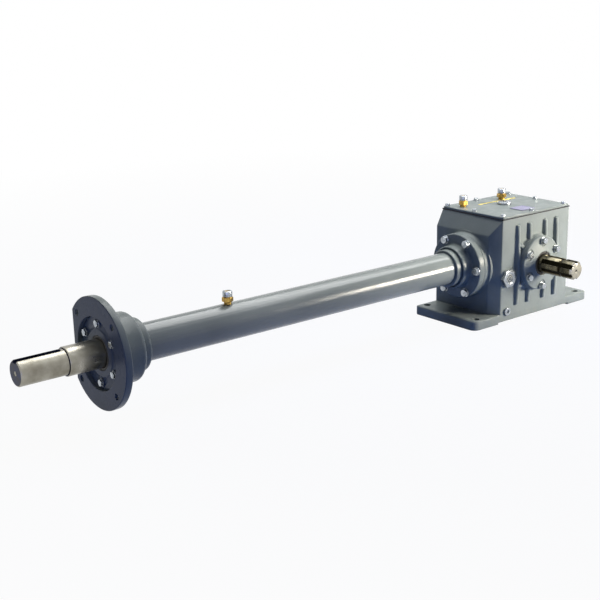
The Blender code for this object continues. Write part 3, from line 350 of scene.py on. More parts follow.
def finish(name, tone, colours, gloss=None, sheen=(), smear=None, reliefs=(), edge_mm=0, **constants):
    """A material, made the first time it is asked for.

    A pattern is grain's arguments, or a function that takes the material and gives a socket. colours lie
    over the tone pattern, and smear's (pattern, stops) darkens them. sheen holds roughness stops over the
    gloss pattern, or over tone where there is none. reliefs are (pattern, height in mm, strength), each
    laid on the one before it, and the first on edges rounded by edge_mm. constants go on the shader.
    """
    made = bpy.data.materials.get(name)
    if made:
        return made
    made = bpy.data.materials.new(name)
    made.use_nodes = True
    shader = made.node_tree.nodes["Principled BSDF"]
    for key, value in constants.items():
        shader.inputs[key.replace("_", " ")].default_value = value
    patterns = {}

    def pattern(source):
        if source not in patterns:
            patterns[source] = source(made) if callable(source) else grain(made, *source)
        return patterns[source]

    def over(source, stops):
        return node(made, "ValToRGB", {"stops": stops}, Fac=pattern(source)).outputs["Color"]

    base = over(tone, colours)
    if smear:
        base = node(made, "Mix", {"data_type": "RGBA", "blend_type": "MULTIPLY"}, i0=1.0, i6=base,
                    i7=over(*smear)).outputs[2]
    made.node_tree.links.new(base, shader.inputs["Base Color"])
    if sheen:
        made.node_tree.links.new(over(gloss or tone, sheen), shader.inputs["Roughness"])
    below = {}
    if edge_mm:
        below["Normal"] = node(made, "Bevel", {"samples": 4}, Radius=edge_mm * MM).outputs["Normal"]
    for source, height_mm, strength in reliefs:
        below["Normal"] = node(made, "Bump", None, Height=pattern(source), Distance=height_mm * MM,
                               Strength=strength, **below).outputs["Normal"]
    if below:
        made.node_tree.links.new(below["Normal"], shader.inputs["Normal"])
    return made


def distance_from(material, centre, along=(1, 1, 1)):
    """How far each point of a piece lies from a centre, along the axes that are 1."""
    place = node(material, "TexCoord").outputs["Object"]
    offset = node(material, "VectorMath", {"operation": "SUBTRACT"}, i0=place, i1=centre).outputs[0]
    kept = node(material, "VectorMath", {"operation": "MULTIPLY"}, i0=offset, i1=along).outputs[0]
    return node(material, "VectorMath", {"operation": "LENGTH"}, i0=kept).outputs["Value"]


# ---------------------------------------------------------------- materials
def enamel_colours():
    settings = bpy.context.scene.gearbox_finish
    return (0.3, settings.enamel_dark), (0.7, settings.enamel)


def cast_enamel():
    """Gloss alkyd enamel sprayed on sand-cast iron: mid grey with a green cast, an even soft gloss, and the
    sand's soft lumps and the spray's orange peel showing through in its highlights."""
    fillet_mm = bpy.context.scene.gearbox_finish.cast_fillet / MM
    return finish("gloss_enamel_on_cast_iron", (60, 4), enamel_colours(), (18,), ((0.3, 0.34), (0.7, 0.5)),
                  reliefs=(((7, 2), 0.35, 0.55), ((1.8, 2), 0.05, 0.5)), edge_mm=fillet_mm,
                  IOR=1.5, Roughness=0.4, Specular_IOR_Level=0.14)


def drawn_enamel():
    """The same enamel on drawn tube, whose faint lengthwise waves break its highlights into streaks."""
    return finish("gloss_enamel_on_drawn_tube", (90, 4), enamel_colours(), (30,), ((0.3, 0.14), (0.7, 0.26)),
                  reliefs=(((9, 2, (0.008, 1, 1)), 1.2, 0.6), ((2.5, 2), 0.03, 0.3)),
                  IOR=1.5, Roughness=0.2, Specular_IOR_Level=0.35)


def machined_enamel():
    """The same enamel on turned steel: smoother, so that lamps draw long streaks on it."""
    return finish("gloss_enamel_on_turned_steel", (90, 4), enamel_colours(), (25,), ((0.3, 0.2), (0.7, 0.34)),
                  reliefs=(((2.5, 2), 0.03, 0.4),), edge_mm=1.0, IOR=1.5, Roughness=0.3,
                  Specular_IOR_Level=0.12)


def ground_steel():
    """Bare medium-carbon steel, turned and ground: bright, faintly warm, with fine lines round the axis,
    drawn coarser than real so that they show, and thumbed oil stains."""
    return finish("ground_bare_steel", (30, 4, (1, 1, 1), 0.55),
                  ((0.3, "#7f7b6f"), (0.5, "#969388"), (0.7, "#aba89f")), sheen=((0.35, 0.4), (0.65, 0.26)),
                  reliefs=(((1.2, 2, (1, 0.02, 0.02)), 0.02, 0.5),), edge_mm=0.4, Metallic=1.0,
                  Roughness=0.25)


def spline_painted_shade_depth(material):
    """The mask of the splines' painted shade: 0 at the floor of the splines and 1 on top of their teeth."""
    distance = distance_from(material, INPUT_CENTRE, (1, 0, 1))
    return node(material, "MapRange", None, Value=distance, From_Min=SPLINE_ROOT - 0.05 * MM,
                From_Max=SPLINE_TOP - 0.15 * MM).outputs[0]


def oiled_spline_steel_painted_shade():
    """Hobbed spline steel under preserving oil: olive brown, with painted shade that darkens it between the
    teeth and leaves it brighter on their tops."""
    # painted shade: the colour darkens towards the floor of the splines
    return finish("oiled_spline_steel_painted_shade", spline_painted_shade_depth, ((0.0, "#15140d"), (0.5, "#2e2a1e"), (1.0, "#6f6a58")),
                  (6, 4), ((0.3, 0.22), (0.7, 0.4)), smear=((9, 5), ((0.35, 0.55), (0.65, 1.0))),
                  reliefs=(((0.9, 2, (1, 0.08, 1)), 0.02, 0.5),), Metallic=1.0, Roughness=0.3)


def zinc_plate():
    """Bright zinc plate on steel fasteners: bluish white, with a slightly cloudy gloss."""
    return finish("bright_zinc_plate", (5, 4), ((0.3, "#8a9096"), (0.7, "#b4bac0")),
                  sheen=((0.3, 0.34), (0.7, 0.2)), edge_mm=0.3, Metallic=1.0, Roughness=0.24)


def turned_brass():
    """Free-cutting brass, turned: golden, with lathe lines and a little brown tarnish in its waist."""
    return finish("turned_brass", (4, 4), ((0.3, "#7d6230"), (0.65, "#bd9c52")),
                  sheen=((0.3, 0.42), (0.7, 0.26)), reliefs=(((0.8, 2, (0.05, 0.05, 1)), 0.03, 0.5),),
                  Metallic=1.0, Roughness=0.28)


def seal_rubber():
    """Moulded nitrile rubber: nearly black, matt, with a trace of grease."""
    return finish("moulded_nitrile_rubber", (6, 4), ((0.3, "#141413"), (0.7, "#24231f")),
                  sheen=((0.35, 0.7), (0.7, 0.4)), reliefs=(((1.5, 3), 0.05, 0.4),), IOR=1.5, Roughness=0.55)


def gasket_sheet():
    """Pressed fibre gasket with sealant squeezed along its edge: black and uneven."""
    fibre = (2.5, 5)
    return finish("pressed_fibre_gasket", fibre, ((0.3, "#101113"), (0.7, "#22252a")),
                  reliefs=((fibre, 0.2, 0.6),), IOR=1.45, Roughness=0.7)


def reflector_rings(material):
    """Waves round the middle of the lens, 3.4 mm from one to the next."""
    radius = distance_from(material, middle("sight_lens"))
    turns = node(material, "Math", {"operation": "MULTIPLY"}, i0=radius, i1=math.tau / (3.4 * MM)).outputs[0]
    return node(material, "Math", {"operation": "SINE"}, i0=turns).outputs[0]


def sight_lens_glass():
    """Clear moulded lens over a pressed metal reflector: pale, with the reflector's rings behind it."""
    return finish("sight_lens_over_reflector", reflector_rings, ((0.1, "#565a55"), (0.7, "#b5b9b2")),
                  reliefs=((reflector_rings, 0.1, 0.4),), IOR=1.5, Roughness=0.5, Metallic=0.0,
                  Coat_Weight=0.3, Coat_Roughness=0.02)


def etched_aluminium():
    """Aluminium plate, bare of print: pale grey with a painted lilac reflection in its colour, and a fine
    brushed grain along X.
    """
    brushed = (1.0, 3, (0.04, 1, 1))
    # painted reflection: the lilac tint in these colours
    return finish("aluminium_plate_painted_lilac_reflection", brushed, ((0.3, "#7b7a92"), (0.7, "#8f8ea8")),
                  reliefs=((brushed, 0.02, 0.5),), Metallic=0.2, Roughness=0.5, Specular_IOR_Level=0.2)


def marker_yellow():
    """A thin coat of pale yellow marking paint, worn unevenly."""
    return finish("worn_yellow_marking_paint", (8, 5, (1, 1, 1), 0.7),
                  ((0.35, "#a39248"), (0.5, "#c9b850"), (0.8, "#d4c66c")), IOR=1.5, Roughness=0.4)


def painted_shade_on_cut_steel():
    """Painted shade on the shaft's cut faces: blue-black steel with a dull shine, darker than the ground
    steel round it.
    """
    return finish("blue_black_painted_shade_cut_steel", (7, 4), ((0.3, "#15161d"), (0.7, "#343c58")),
                  sheen=((0.3, 0.34), (0.7, 0.5)), reliefs=(((1.4, 3), 0.03, 0.5),), Metallic=1.0,
                  Roughness=0.4)


def gear_steel():
    """Case-hardened gear steel under oil: dark grey, glossy on the flanks."""
    return finish("oiled_gear_steel", (10, 4), ((0.3, "#6f6a60"), (0.7, "#9a978f")),
                  sheen=((0.3, 0.2), (0.7, 0.4)), reliefs=(((1.2, 2), 0.02, 0.5),), Metallic=1.0,
                  Roughness=0.3)


def bearing_steel():
    """Ground bearing steel: bright and even, with a faint straw tint of grease."""
    return finish("ground_bearing_steel", (12, 3), ((0.3, "#a5a49c"), (0.7, "#c8c8c6")),
                  sheen=((0.3, 0.14), (0.7, 0.28)), Metallic=1.0, Roughness=0.18)


# ---------------------------------------------------------------- fasteners
def hex_head(name, across, low, high, chamfer=0.16):
    """A hexagon whose corners are turned off at its top."""
    corner = across / math.sqrt(3)
    prism = turned(name, "Z", (0, 0, 0), [(low, corner), (high, corner)], 6)
    drop = (high - low) * chamfer
    mould = turned("mould", "Z", (0, 0, 0), [
        (low - MM, corner + MM), (high - 1.6 * drop, corner + MM), (high - drop, corner),
        (high, across / 2 * 0.96),
    ], 48)
    return combine(prism, "INTERSECT", [mould])


def model_bolt(size, length):
    across, head, washer, washer_height, shank = size
    bolt = hex_head("bolt", across, washer_height * 0.6, washer_height + head)
    plate = turned("plate", "Z", (0, 0, 0), [(0, washer), (washer_height, washer)], 40)
    round_edges(plate, washer_height * 0.2, 2)
    stem = turned("stem", "Z", (0, 0, 0), [(-length, shank * 0.9), (-length + shank * 0.2, shank),
                                           (washer_height * 0.7, shank)], 24)
    add(bolt, plate, stem)
    return smooth(bolt)


def build_bolts(prefix, size, axis_turn, outward, count=6):
    """A bolt at each node of the set, its top level with the node's."""
    low, high = box(f"{prefix}_1")
    direction = Vector(outward)
    top = size[1] + size[3]
    length = abs((high - low).dot(direction)) - top
    model = model_bolt(size, length)
    for number in range(1, count + 1):
        name = f"{prefix}_{number}"
        low, high = box(name)
        seat = (low + high) / 2
        outer = max(low.dot(direction), high.dot(direction)) - top
        seat += direction * (outer - seat.dot(direction))
        spin = Matrix.Rotation(math.radians(17 * number + 5), 4, "Z")
        matrix = Matrix.Translation(seat) @ axis_turn @ spin
        bolt = copy_of(model, f"{name}_hex", matrix)
        dress(bolt, zinc_plate(), GEARBOX, [name])
    bpy.data.objects.remove(model)


# ---------------------------------------------------------------- housing
def model_body():
    body = block("housing_casting", (0, -HALF_WIDTH, FOOT_THICKNESS / 2), (BODY_REAR, HALF_WIDTH, BODY_TOP))
    use(body)
    bpy.ops.object.mode_set(mode="EDIT")
    slopes = (
        ((0, 0, BODY_TOP - PANEL_TOP_MARGIN), (-PANEL_TOP_MARGIN, 0, PANEL_SLOPE_DEPTH)),
        ((0, PANEL_SIDE_MARGIN - HALF_WIDTH, 0), (-PANEL_SIDE_MARGIN, -PANEL_SLOPE_DEPTH, 0)),
    )
    for point, normal in slopes:
        bpy.ops.mesh.select_all(action="SELECT")
        bpy.ops.mesh.bisect(plane_co=point, plane_no=Vector(normal).normalized(), use_fill=True,
                            clear_outer=True)
    deselect()
    joint_edge = BODY_TOP - FLAT_TEST
    pick(body, "EDGE", lambda edge: not all(v.co.z > joint_edge for v in edge.verts)
         and not all(v.co.z < FOOT_THICKNESS for v in edge.verts))
    bpy.ops.mesh.bevel(offset=1.6 * MM, segments=3, affect="EDGES")
    deselect()
    return body


def model_foot_plate():
    """The corner between the tube side and the input side is rounder than the other three."""
    low, high = HOUSING_LOW, HOUSING_HIGH
    plate = block("foot_plate", (low.x, -HALF_WIDTH, 0), (high.x, HALF_WIDTH, FOOT_THICKNESS))
    for x in (low.x, high.x):
        for y in (-HALF_WIDTH, HALF_WIDTH):
            radius = FOOT_NEAR_CORNER if x == low.x and y < 0 else FOOT_CORNER
            bevel_where(plate, radius, 8,
                        lambda place: abs(place.x - x) < FLAT_TEST and abs(place.y - y) < FLAT_TEST)
    return round_edges(plate, 2.0 * MM, 3, 50)


def model_rib(x, side):
    """A slim tapered rib with a rounded crest, deepest at mid length and blunt at both ends."""
    root, crest = side * (HALF_WIDTH - WALL / 3), side * (HALF_WIDTH + RIB_HEIGHT)
    low = (x - RIB_BASE / 2, min(root, crest), RIB_LOW)
    high = (x + RIB_BASE / 2, max(root, crest), RIB_HIGH)
    rib = block("rib", low, high)
    pick(rib, "FACE", lambda face: face.normal.y * side > 0.9)
    bpy.ops.transform.resize(value=(RIB_CREST / RIB_BASE, 1, 0.95),
                             center_override=(x, crest, (RIB_LOW + RIB_HIGH) / 2))
    deselect()
    pick(rib, "EDGE", lambda edge: abs(edge.verts[0].co.z - edge.verts[1].co.z) > WALL)
    bpy.ops.mesh.subdivide(number_cuts=7)
    deselect()
    pick(rib, "FACE", lambda face: face.normal.y * side > 0.9)
    shape = bmesh.from_edit_mesh(rib.data)
    crests = sorted({round(v.co.z, 6) for v in shape.verts if abs(v.co.y - crest) < FLAT_TEST})
    deselect()
    centre, half = (crests[0] + crests[-1]) / 2, (crests[-1] - crests[0]) / 2
    for height in crests:
        pick(rib, "EDGE", lambda edge: all(
            abs(v.co.y - crest) < 2 * RIB_HEIGHT / 3 and abs(v.co.z - height) < SAME_PLACE
            for v in edge.verts))
        drop = (RIB_HEIGHT - RIB_END_HEIGHT) * ((height - centre) / half) ** 2
        bpy.ops.transform.translate(value=(0, -side * drop, 0))
        deselect()
    return round_edges(rib, 2.0 * MM, 4, 25)


def model_web(angle_degrees):
    """A small web from the input boss to the rib beside it, as the casting has above and below."""
    angle = math.radians(angle_degrees)
    direction = Vector((math.cos(angle), 0, math.sin(angle)))
    web = block("web", (0, -HALF_WIDTH - RIB_HEIGHT * 0.8, -4 * MM),
                (20 * MM, -HALF_WIDTH + WALL / 3, 4 * MM))
    web.matrix_world = Matrix.Translation(Vector(INPUT_CENTRE) + direction * (SIDE_BOSS - 8 * MM)) @ \
        Matrix.Rotation(-angle, 4, "Y")
    settle(web)
    return round_edges(web, 2 * MM, 3, 30)


def housing_cutters():
    side = HALF_WIDTH - WALL
    front = PANEL_SLOPE_DEPTH + WALL
    cavity = block("cavity", (front, -side, WALL), (BODY_REAR - WALL, side, BODY_TOP + MM))
    relief = block("relief", (FOOT_RELIEF_START, -SIDE_FACE, -MM),
                   (FOOT_RELIEF_END, SIDE_FACE, FOOT_RELIEF_DEPTH))
    bores = rod("bores", "Y", INPUT_CENTRE, -SIDE_FACE - MM, SIDE_FACE + MM, SIDE_BORE, 96)
    panel = rod("panel", "X", OUTPUT_CENTRE, -PANEL_BOSS_HEIGHT - MM, front + MM, PANEL_BORE, 96)
    outside, inside = -HALF_WIDTH - MM, MM - side
    sight, drain = middle("sight_glass_body"), middle("drain_plug")
    holes = [rod("sight_hole", "Y", (sight.x, 0, sight.z), outside, inside, SIGHT_BORE),
             rod("drain_hole", "Y", (drain.x, 0, drain.z), outside, inside, DRAIN_BORE)]
    for x in (HOUSING_LOW.x + FOOT_HOLE_INSET_X, HOUSING_HIGH.x - FOOT_HOLE_INSET_X):
        for y in (FOOT_HOLE_INSET_Y - HALF_WIDTH, HALF_WIDTH - FOOT_HOLE_INSET_Y):
            holes.append(rod("foot_hole", "Z", (x, y, 0), -MM, FOOT_THICKNESS + MM, FOOT_HOLE_RADIUS))
    return [cavity, relief, bores, panel, joined(holes)]


def bolt_hole_cutters(prefix, count, axis, shank):
    """Clearance holes for a set of bolts, along the given axis letter."""
    holes = []
    index = "XYZ".index(axis)
    for number in range(1, count + 1):
        low, high = box(f"{prefix}_{number}")
        centre = (low + high) / 2
        centre[index] = 0
        start, end = low[index] - SEAT_GAP, high[index] + SEAT_GAP
        holes.append(rod("bolt_hole", axis, centre, start, end, shank + BOLT_HOLE_EXTRA, 24))
    return joined(holes)


def build_housing():
    casting = model_body()
    add(casting, model_foot_plate())
    for side in (-1, 1):
        for offset in RIB_OFFSETS:
            for hand in (-1, 1):
                add(casting, model_rib(INPUT_X + RIB_SHIFT + hand * offset, side))
        face = side * SIDE_FACE
        root = side * (HALF_WIDTH - WALL / 3)
        boss = turned("side_boss", "Y", INPUT_CENTRE, [
            (root, SIDE_BOSS + SIDE_BOSS_FILLET),
            *fillet(side * HALF_WIDTH, SIDE_BOSS, SIDE_BOSS_FILLET, side),
            (face - side * 1.2 * MM, SIDE_BOSS), (face, SIDE_BOSS - 1.2 * MM),
        ], 128)
        add(casting, boss)
    add(casting, model_web(139), model_web(-139))
    panel_boss = turned("panel_boss", "X", OUTPUT_CENTRE, [
        (PANEL_SLOPE_DEPTH, PANEL_BOSS + PANEL_BOSS_FILLET), *fillet(0, PANEL_BOSS, PANEL_BOSS_FILLET, -1),
        *reversed(arc(-PANEL_BOSS_HEIGHT, PANEL_BOSS, 2 * MM, -1)),
    ], 128)
    add(casting, panel_boss)
    cut(casting, *housing_cutters())
    cut(casting, bolt_hole_cutters("adapter_bolt", 6, "X", M8[4]),
        bolt_hole_cutters("input_cover_bolt", 6, "Y", M7[4]),
        bolt_hole_cutters("top_cover_bolt", 8, "Z", M5[4]))
    dress(smooth(casting), cast_enamel(), GEARBOX, ["housing"])


# ---------------------------------------------------------------- top
def build_top_cover():
    cover = block("top_cover_plate", COVER_LOW, COVER_HIGH)
    pick(cover, "EDGE", lambda edge: abs(edge.verts[0].co.z - edge.verts[1].co.z) > MM)
    bpy.ops.mesh.bevel(offset=COVER_CORNER, segments=6, affect="EDGES")
    deselect()
    round_edges(cover, 1.0 * MM, 3, 60)
    filler, breathers = middle("filler_plug"), [middle(f"breather_{n}_body") for n in (1, 2)]
    ports = [rod("filler_hole", "Z", (filler.x, filler.y, 0), COVER_LOW.z - MM, COVER_HIGH.z + MM,
                 FILLER_HOLE, 48)]
    for spot in breathers:
        ports.append(rod("port", "Z", (spot.x, spot.y, 0), COVER_LOW.z - MM, COVER_HIGH.z + MM,
                         BREATHER_SHANK_HOLE))
    cut(cover, joined(ports), bolt_hole_cutters("top_cover_bolt", 8, "Z", M5[4]))
    dress(smooth(cover), cast_enamel(), GEARBOX, ["top_cover"])


def build_gasket():
    """The sheet between cover and box, with a bead of sealant squeezed out all round its edge."""
    low, high = box("cover_gasket")
    bead = Vector((0.5 * MM, 0.5 * MM, 0.6 * MM))
    gasket = block("gasket_and_bead", low - bead, high + bead)
    round_edges(gasket, 0.4 * MM, 2)
    deep = Vector((0, 0, 2 * MM))
    above = block("above", low - Vector((0, 0, -(high.z - low.z))), high + deep)
    below = block("below", low - deep, high - Vector((0, 0, high.z - low.z)))
    room = block("room", (PANEL_SLOPE_DEPTH + WALL, WALL - HALF_WIDTH, low.z - deep.z),
                 (BODY_REAR - WALL, HALF_WIDTH - WALL, high.z + deep.z))
    cut(gasket, above, below, room, bolt_hole_cutters("top_cover_bolt", 8, "Z", M5[4]))
    dress(smooth(gasket), gasket_sheet(), GEARBOX, ["cover_gasket"])


def build_nameplate():
    """A thin blank plate with a pressed border, held by four drive rivets."""
    low, high = box("nameplate")
    plate = block("blank_nameplate", low, (high.x, high.y, high.z - 0.3 * MM))
    pick(plate, "FACE", lambda face: face.normal.z > 0.9)
    bpy.ops.mesh.inset(thickness=1.4 * MM, depth=0)
    bpy.ops.mesh.inset(thickness=0.3 * MM, depth=-0.25 * MM)
    deselect()
    inset = 3.2 * MM
    rivets = []
    for x in (low.x + inset, high.x - inset):
        for y in (low.y + inset, high.y - inset):
            rivets.append(turned("rivet", "Z", (x, y, 0), [
                (high.z - 0.7 * MM, 1.3 * MM), (high.z - 0.15 * MM, 1.1 * MM), (high.z, 0.5 * MM),
            ], 16))
    add(plate, *rivets)
    dress(smooth(plate), etched_aluminium(), GEARBOX, ["nameplate"])


def build_yellow_strip():
    """The pale strip across the cover, bare of any print."""
    top = COVER_HIGH.z
    strip = block("yellow_strip", (*STRIP_LOW, top + 0.02 * MM), (*STRIP_HIGH, top + 0.5 * MM))
    round_edges(strip, 0.08 * MM, 2)
    centre = (Vector((*STRIP_LOW, 0)) + Vector((*STRIP_HIGH, 0))) / 2
    strip.matrix_world = Matrix.Translation(centre) @ Matrix.Rotation(STRIP_TURN, 4, "Z") @ \
        Matrix.Translation(-centre)
    settle(strip)
    port = middle("breather_2_body")
    cut(strip, rod("port", "Z", (port.x, port.y, 0), top - MM, top + MM, 7 * MM))
    dress(smooth(strip), marker_yellow(), GEARBOX)


def build_breather(number):
    """Brass hexagon body with a waist, under a loose turned cap with a rolled rim."""
    body_low, body_high = box(f"breather_{number}_body")
    cap_low, cap_high = box(f"breather_{number}_cap")
    centre = ((body_low.x + body_high.x) / 2, (body_low.y + body_high.y) / 2, 0)
    seat = (COVER_HIGH.z if number < 3 else TUBE_HIGH.z) + SEAT_GAP
    hex_low, hex_high = seat + 4 * MM, cap_low.z - SEAT_GAP
    core = turned("core", "Z", (0, 0, 0), [
        (body_low.z, 4.6 * MM), (body_low.z + 0.5 * MM, 5 * MM), (seat, 5 * MM), (seat, 6.2 * MM),
        (seat + 2.6 * MM, 6.2 * MM), (seat + 3.2 * MM, 5.4 * MM), (hex_low + MM, 5.4 * MM),
        (hex_high - 0.5 * MM, 6.6 * MM), (body_high.z, 5 * MM),
    ], 48)
    nut = hex_head(f"breather_{number}_brass", 16 * MM, 0, hex_high - hex_low - 0.6 * MM, 0.14)
    spin = Matrix.Rotation(math.radians(20 * number), 4, "Z")
    nut.matrix_world = Matrix.Translation((0, 0, hex_low)) @ spin
    settle(nut)
    add(nut, core)
    nut.location = centre
    dress(smooth(settle(nut)), turned_brass(), GEARBOX, [f"breather_{number}_body"])
    radius = (cap_high.x - cap_low.x) / 2
    low, high = cap_low.z, cap_high.z
    cap = turned(f"breather_{number}_silver_cap", "Z", centre, [
        (high - 1.2 * MM, 3 * MM), (high - 1.2 * MM, 4.4 * MM), (high, 5.2 * MM), (high, radius - 1.4 * MM),
        (high - 0.5 * MM, radius - 0.4 * MM), (high - 1.4 * MM, radius), (low + 2.8 * MM, radius),
        (low + 2.5 * MM, radius - 0.5 * MM), (low + 2.0 * MM, radius - 0.5 * MM), (low + 1.7 * MM, radius),
        (low + 0.3 * MM, radius), (low, radius - 0.4 * MM), (low, 5.3 * MM), (high - 2 * MM, 5.3 * MM),
    ], 64)
    dress(smooth(cap, 40), zinc_plate(), GEARBOX, [f"breather_{number}_cap"])


def build_filler_plug():
    low, high = box("filler_plug")
    centre = ((low.x + high.x) / 2, (low.y + high.y) / 2, 0)
    seat, radius, top = COVER_HIGH.z + SEAT_GAP, (high.x - low.x) / 2, high.z
    plug = turned("filler_plug_head", "Z", centre, [
        (low.z, 8.4 * MM), (low.z + 0.6 * MM, 9 * MM), (seat, 9 * MM), (seat, radius - 1.2 * MM),
        (seat + 1.2 * MM, radius - 1.2 * MM), (seat + 1.4 * MM, radius), (top - 1.4 * MM, radius),
        (top - 0.4 * MM, radius - 0.6 * MM), (top, radius - 1.8 * MM),
    ], 80)
    socket = turned("socket", "Z", centre, [(seat + 1.3 * MM, 4.5 * MM), (top + MM, 4.5 * MM)], 6)
    cut(plug, socket)
    dress(smooth(plug), zinc_plate(), GEARBOX, ["filler_plug"])


# ---------------------------------------------------------------- plugs on the ribbed side
def build_sight_glass():
    low, high = box("sight_glass_body")
    centre = ((low.x + high.x) / 2, 0, (low.z + high.z) / 2)
    face, front = -HALF_WIDTH - SEAT_GAP, low.y
    across = high.z - low.z
    collar = hex_head("sight_glass_collar", across, 0, face - front, 0.12)
    turn = Matrix.Rotation(math.pi / 2, 4, "X") @ Matrix.Rotation(math.radians(SIGHT_SPIN), 4, "Z")
    collar.matrix_world = Matrix.Translation((centre[0], face, centre[2])) @ turn
    settle(collar)
    add(collar, rod("shank", "Y", centre, front + 4 * MM, high.y, 10 * MM, 48))
    lens_low, lens_high = box("sight_lens")
    pocket = turned("pocket", "Y", centre, [
        (front - MM, 10.6 * MM), (front + 0.4 * MM, 10.6 * MM), (front + 1.0 * MM, 9.2 * MM),
        (front + 1.0 * MM, 8.8 * MM), (lens_high.y + SEAT_GAP, 8.8 * MM),
    ], 64)
    cut(collar, pocket)
    dress(smooth(collar), zinc_plate(), GEARBOX, ["sight_glass_body"])
    lens = turned("sight_lens_dome", "Y", centre, [
        (lens_high.y, 8.5 * MM), (lens_low.y + 0.8 * MM, 8.5 * MM), (lens_low.y + 0.5 * MM, 7.6 * MM),
        (lens_low.y + 0.5 * MM, 5.2 * MM), (lens_low.y + 0.1 * MM, 4.8 * MM), (lens_low.y, 2 * MM),
    ], 64)
    dress(smooth(lens), sight_lens_glass(), GEARBOX, ["sight_lens"])


def build_drain_plug():
    low, high = box("drain_plug")
    centre = ((low.x + high.x) / 2, 0, (low.z + high.z) / 2)
    face, front, radius = -HALF_WIDTH - SEAT_GAP, low.y, (high.x - low.x) / 2
    plug = turned("drain_plug_head", "Y", centre, [
        (high.y, 5.2 * MM), (high.y - 0.4 * MM, 5.5 * MM), (face, 5.5 * MM), (face, radius),
        (front + 0.8 * MM, radius), (front, radius - 0.8 * MM),
    ], 48)
    cut(plug, turned("socket", "Y", centre, [(front - MM, 3.6 * MM), (front + 3 * MM, 3.6 * MM)], 6))
    dress(smooth(plug), zinc_plate(), GEARBOX, ["drain_plug"])


# ---------------------------------------------------------------- input side
def build_input_cover():
    low, high = INPUT_COVER_LOW, INPUT_COVER_HIGH
    cone_face, spigot_end, radius = low.y, high.y, half_height("input_cover")
    back = -SIDE_FACE - SEAT_GAP
    disc_face = cone_face + 4 * MM
    seal_back = box("input_seal")[1].y + SEAT_GAP
    seat, way = half_height("input_seal") + SEAT_GAP, 21 * MM
    cover = turned("input_cover_disc", "Y", INPUT_CENTRE, [
        (cone_face, seat), (cone_face, 24.5 * MM), (cone_face + 0.5 * MM, 26 * MM),
        (disc_face - 0.6 * MM, 44 * MM), (disc_face, 47 * MM), (disc_face, radius - 1.5 * MM),
        (disc_face + 1.5 * MM, radius), (back, radius),
        (back, 36 * MM), (spigot_end, 36 * MM), (spigot_end, way), (seal_back, way), (seal_back, seat),
    ], 128, hollow=True)
    spots = []
    for number in range(1, 7):
        centre = middle(f"input_cover_bolt_{number}")
        spots.append(rod("spot", "Y", (centre.x, 0, centre.z), cone_face - MM, disc_face, 11 * MM, 40))
    cut(cover, joined(spots), bolt_hole_cutters("input_cover_bolt", 6, "Y", M7[4]))
    dress(smooth(cover), cast_enamel(), GEARBOX, ["input_cover"])


def build_seal(node, axis, centre, towards):
    """Lip seal: a flat ring with a raised outer rim and a dished lip round the shaft."""
    low, high = box(node)
    index = "XYZ".index(axis)
    face, back = (low[index], high[index]) if towards < 0 else (high[index], low[index])
    outer = half_height(node)
    inner = 18 * MM if axis == "Y" else 23 * MM
    rim = min(2 * MM, (outer - inner) * 0.3)
    step = (back - face) / abs(back - face)
    seal = turned(f"{node}_lip", axis, centre, [
        (back, inner + 1.2 * MM), (back, outer), (face + step * 0.4 * MM, outer), (face, outer - 0.4 * MM),
        (face, outer - rim), (face + step * 0.8 * MM, outer - rim - 0.3 * MM),
        (face + step * 0.8 * MM, inner + 1.0 * MM), (face + step * 0.2 * MM, inner + 0.5 * MM),
        (face + step * 0.6 * MM, inner),
    ], 80, hollow=True)
    dress(smooth(seal), seal_rubber(), GEARBOX, [node])


def spline_cutter(start, end, root, outer, tooth_width, teeth=6):
    """The spaces between straight-sided teeth: a ring less one block for each tooth."""
    profile = [(start, root), (start, outer), (end, outer), (end, root)]
    ring = turned("ring", "Y", INPUT_CENTRE, profile, 96, hollow=True)
    blocks = []
    for number in range(teeth):
        tooth = block("tooth", (root / 2, start - MM, -tooth_width / 2),
                      (outer + MM, end + MM, tooth_width / 2))
        turn = Matrix.Rotation(number * math.tau / teeth, 4, "Y")
        tooth.matrix_world = Matrix.Translation(INPUT_CENTRE) @ turn
        blocks.append(settle(tooth))
    return cut(ring, joined(blocks))


def build_input_shaft():
    end, rear = INPUT_LOW.y, INPUT_HIGH.y
    spline, core, journal = SPLINE_TOP, half_height("input_shaft"), 17.5 * MM
    spline_end, groove = end + SPLINE_LENGTH, end + SPLINE_GROOVE
    core_end, core_start = box("input_bearing_rear_cup")[0].y - SEAT_GAP, -35.7 * MM
    shaft = turned("input_spline_shaft", "Y", INPUT_CENTRE, [
        (end + 6 * MM, 0.4 * MM), (end + 4.6 * MM, 1.6 * MM), (end + 1.2 * MM, 1.9 * MM), (end, 3.2 * MM),
        (end, spline - 2.8 * MM), (end + 2.6 * MM, spline), (groove - 3.5 * MM, spline),
        *[(groove - 3.5 * MM * math.cos(math.radians(a)), spline - 2.4 * MM * math.sin(math.radians(a)))
          for a in range(20, 180, 20)],
        (groove + 3.5 * MM, spline), (spline_end, spline), (spline_end + 1.5 * MM, journal),
        (core_start, journal), (core_start, core), (core_end, core), (core_end, journal), (rear, journal),
    ], 128)
    cut(shaft, spline_cutter(end - MM, spline_end - 6 * MM, SPLINE_ROOT, spline + 2 * MM, SPLINE_TOOTH))
    round_edges(shaft, 0.25 * MM, 2, 50)
    dress(smooth(shaft, 30), oiled_spline_steel_painted_shade(), INPUT_BODY, ["input_shaft"])
    shaft.data.materials.append(ground_steel())
    for face in shaft.data.polygons:  # the faced end and its chamfer are bare and bright
        if face.center.y < end + 2.8 * MM and face.normal.y < -0.3:
            face.material_index = 1


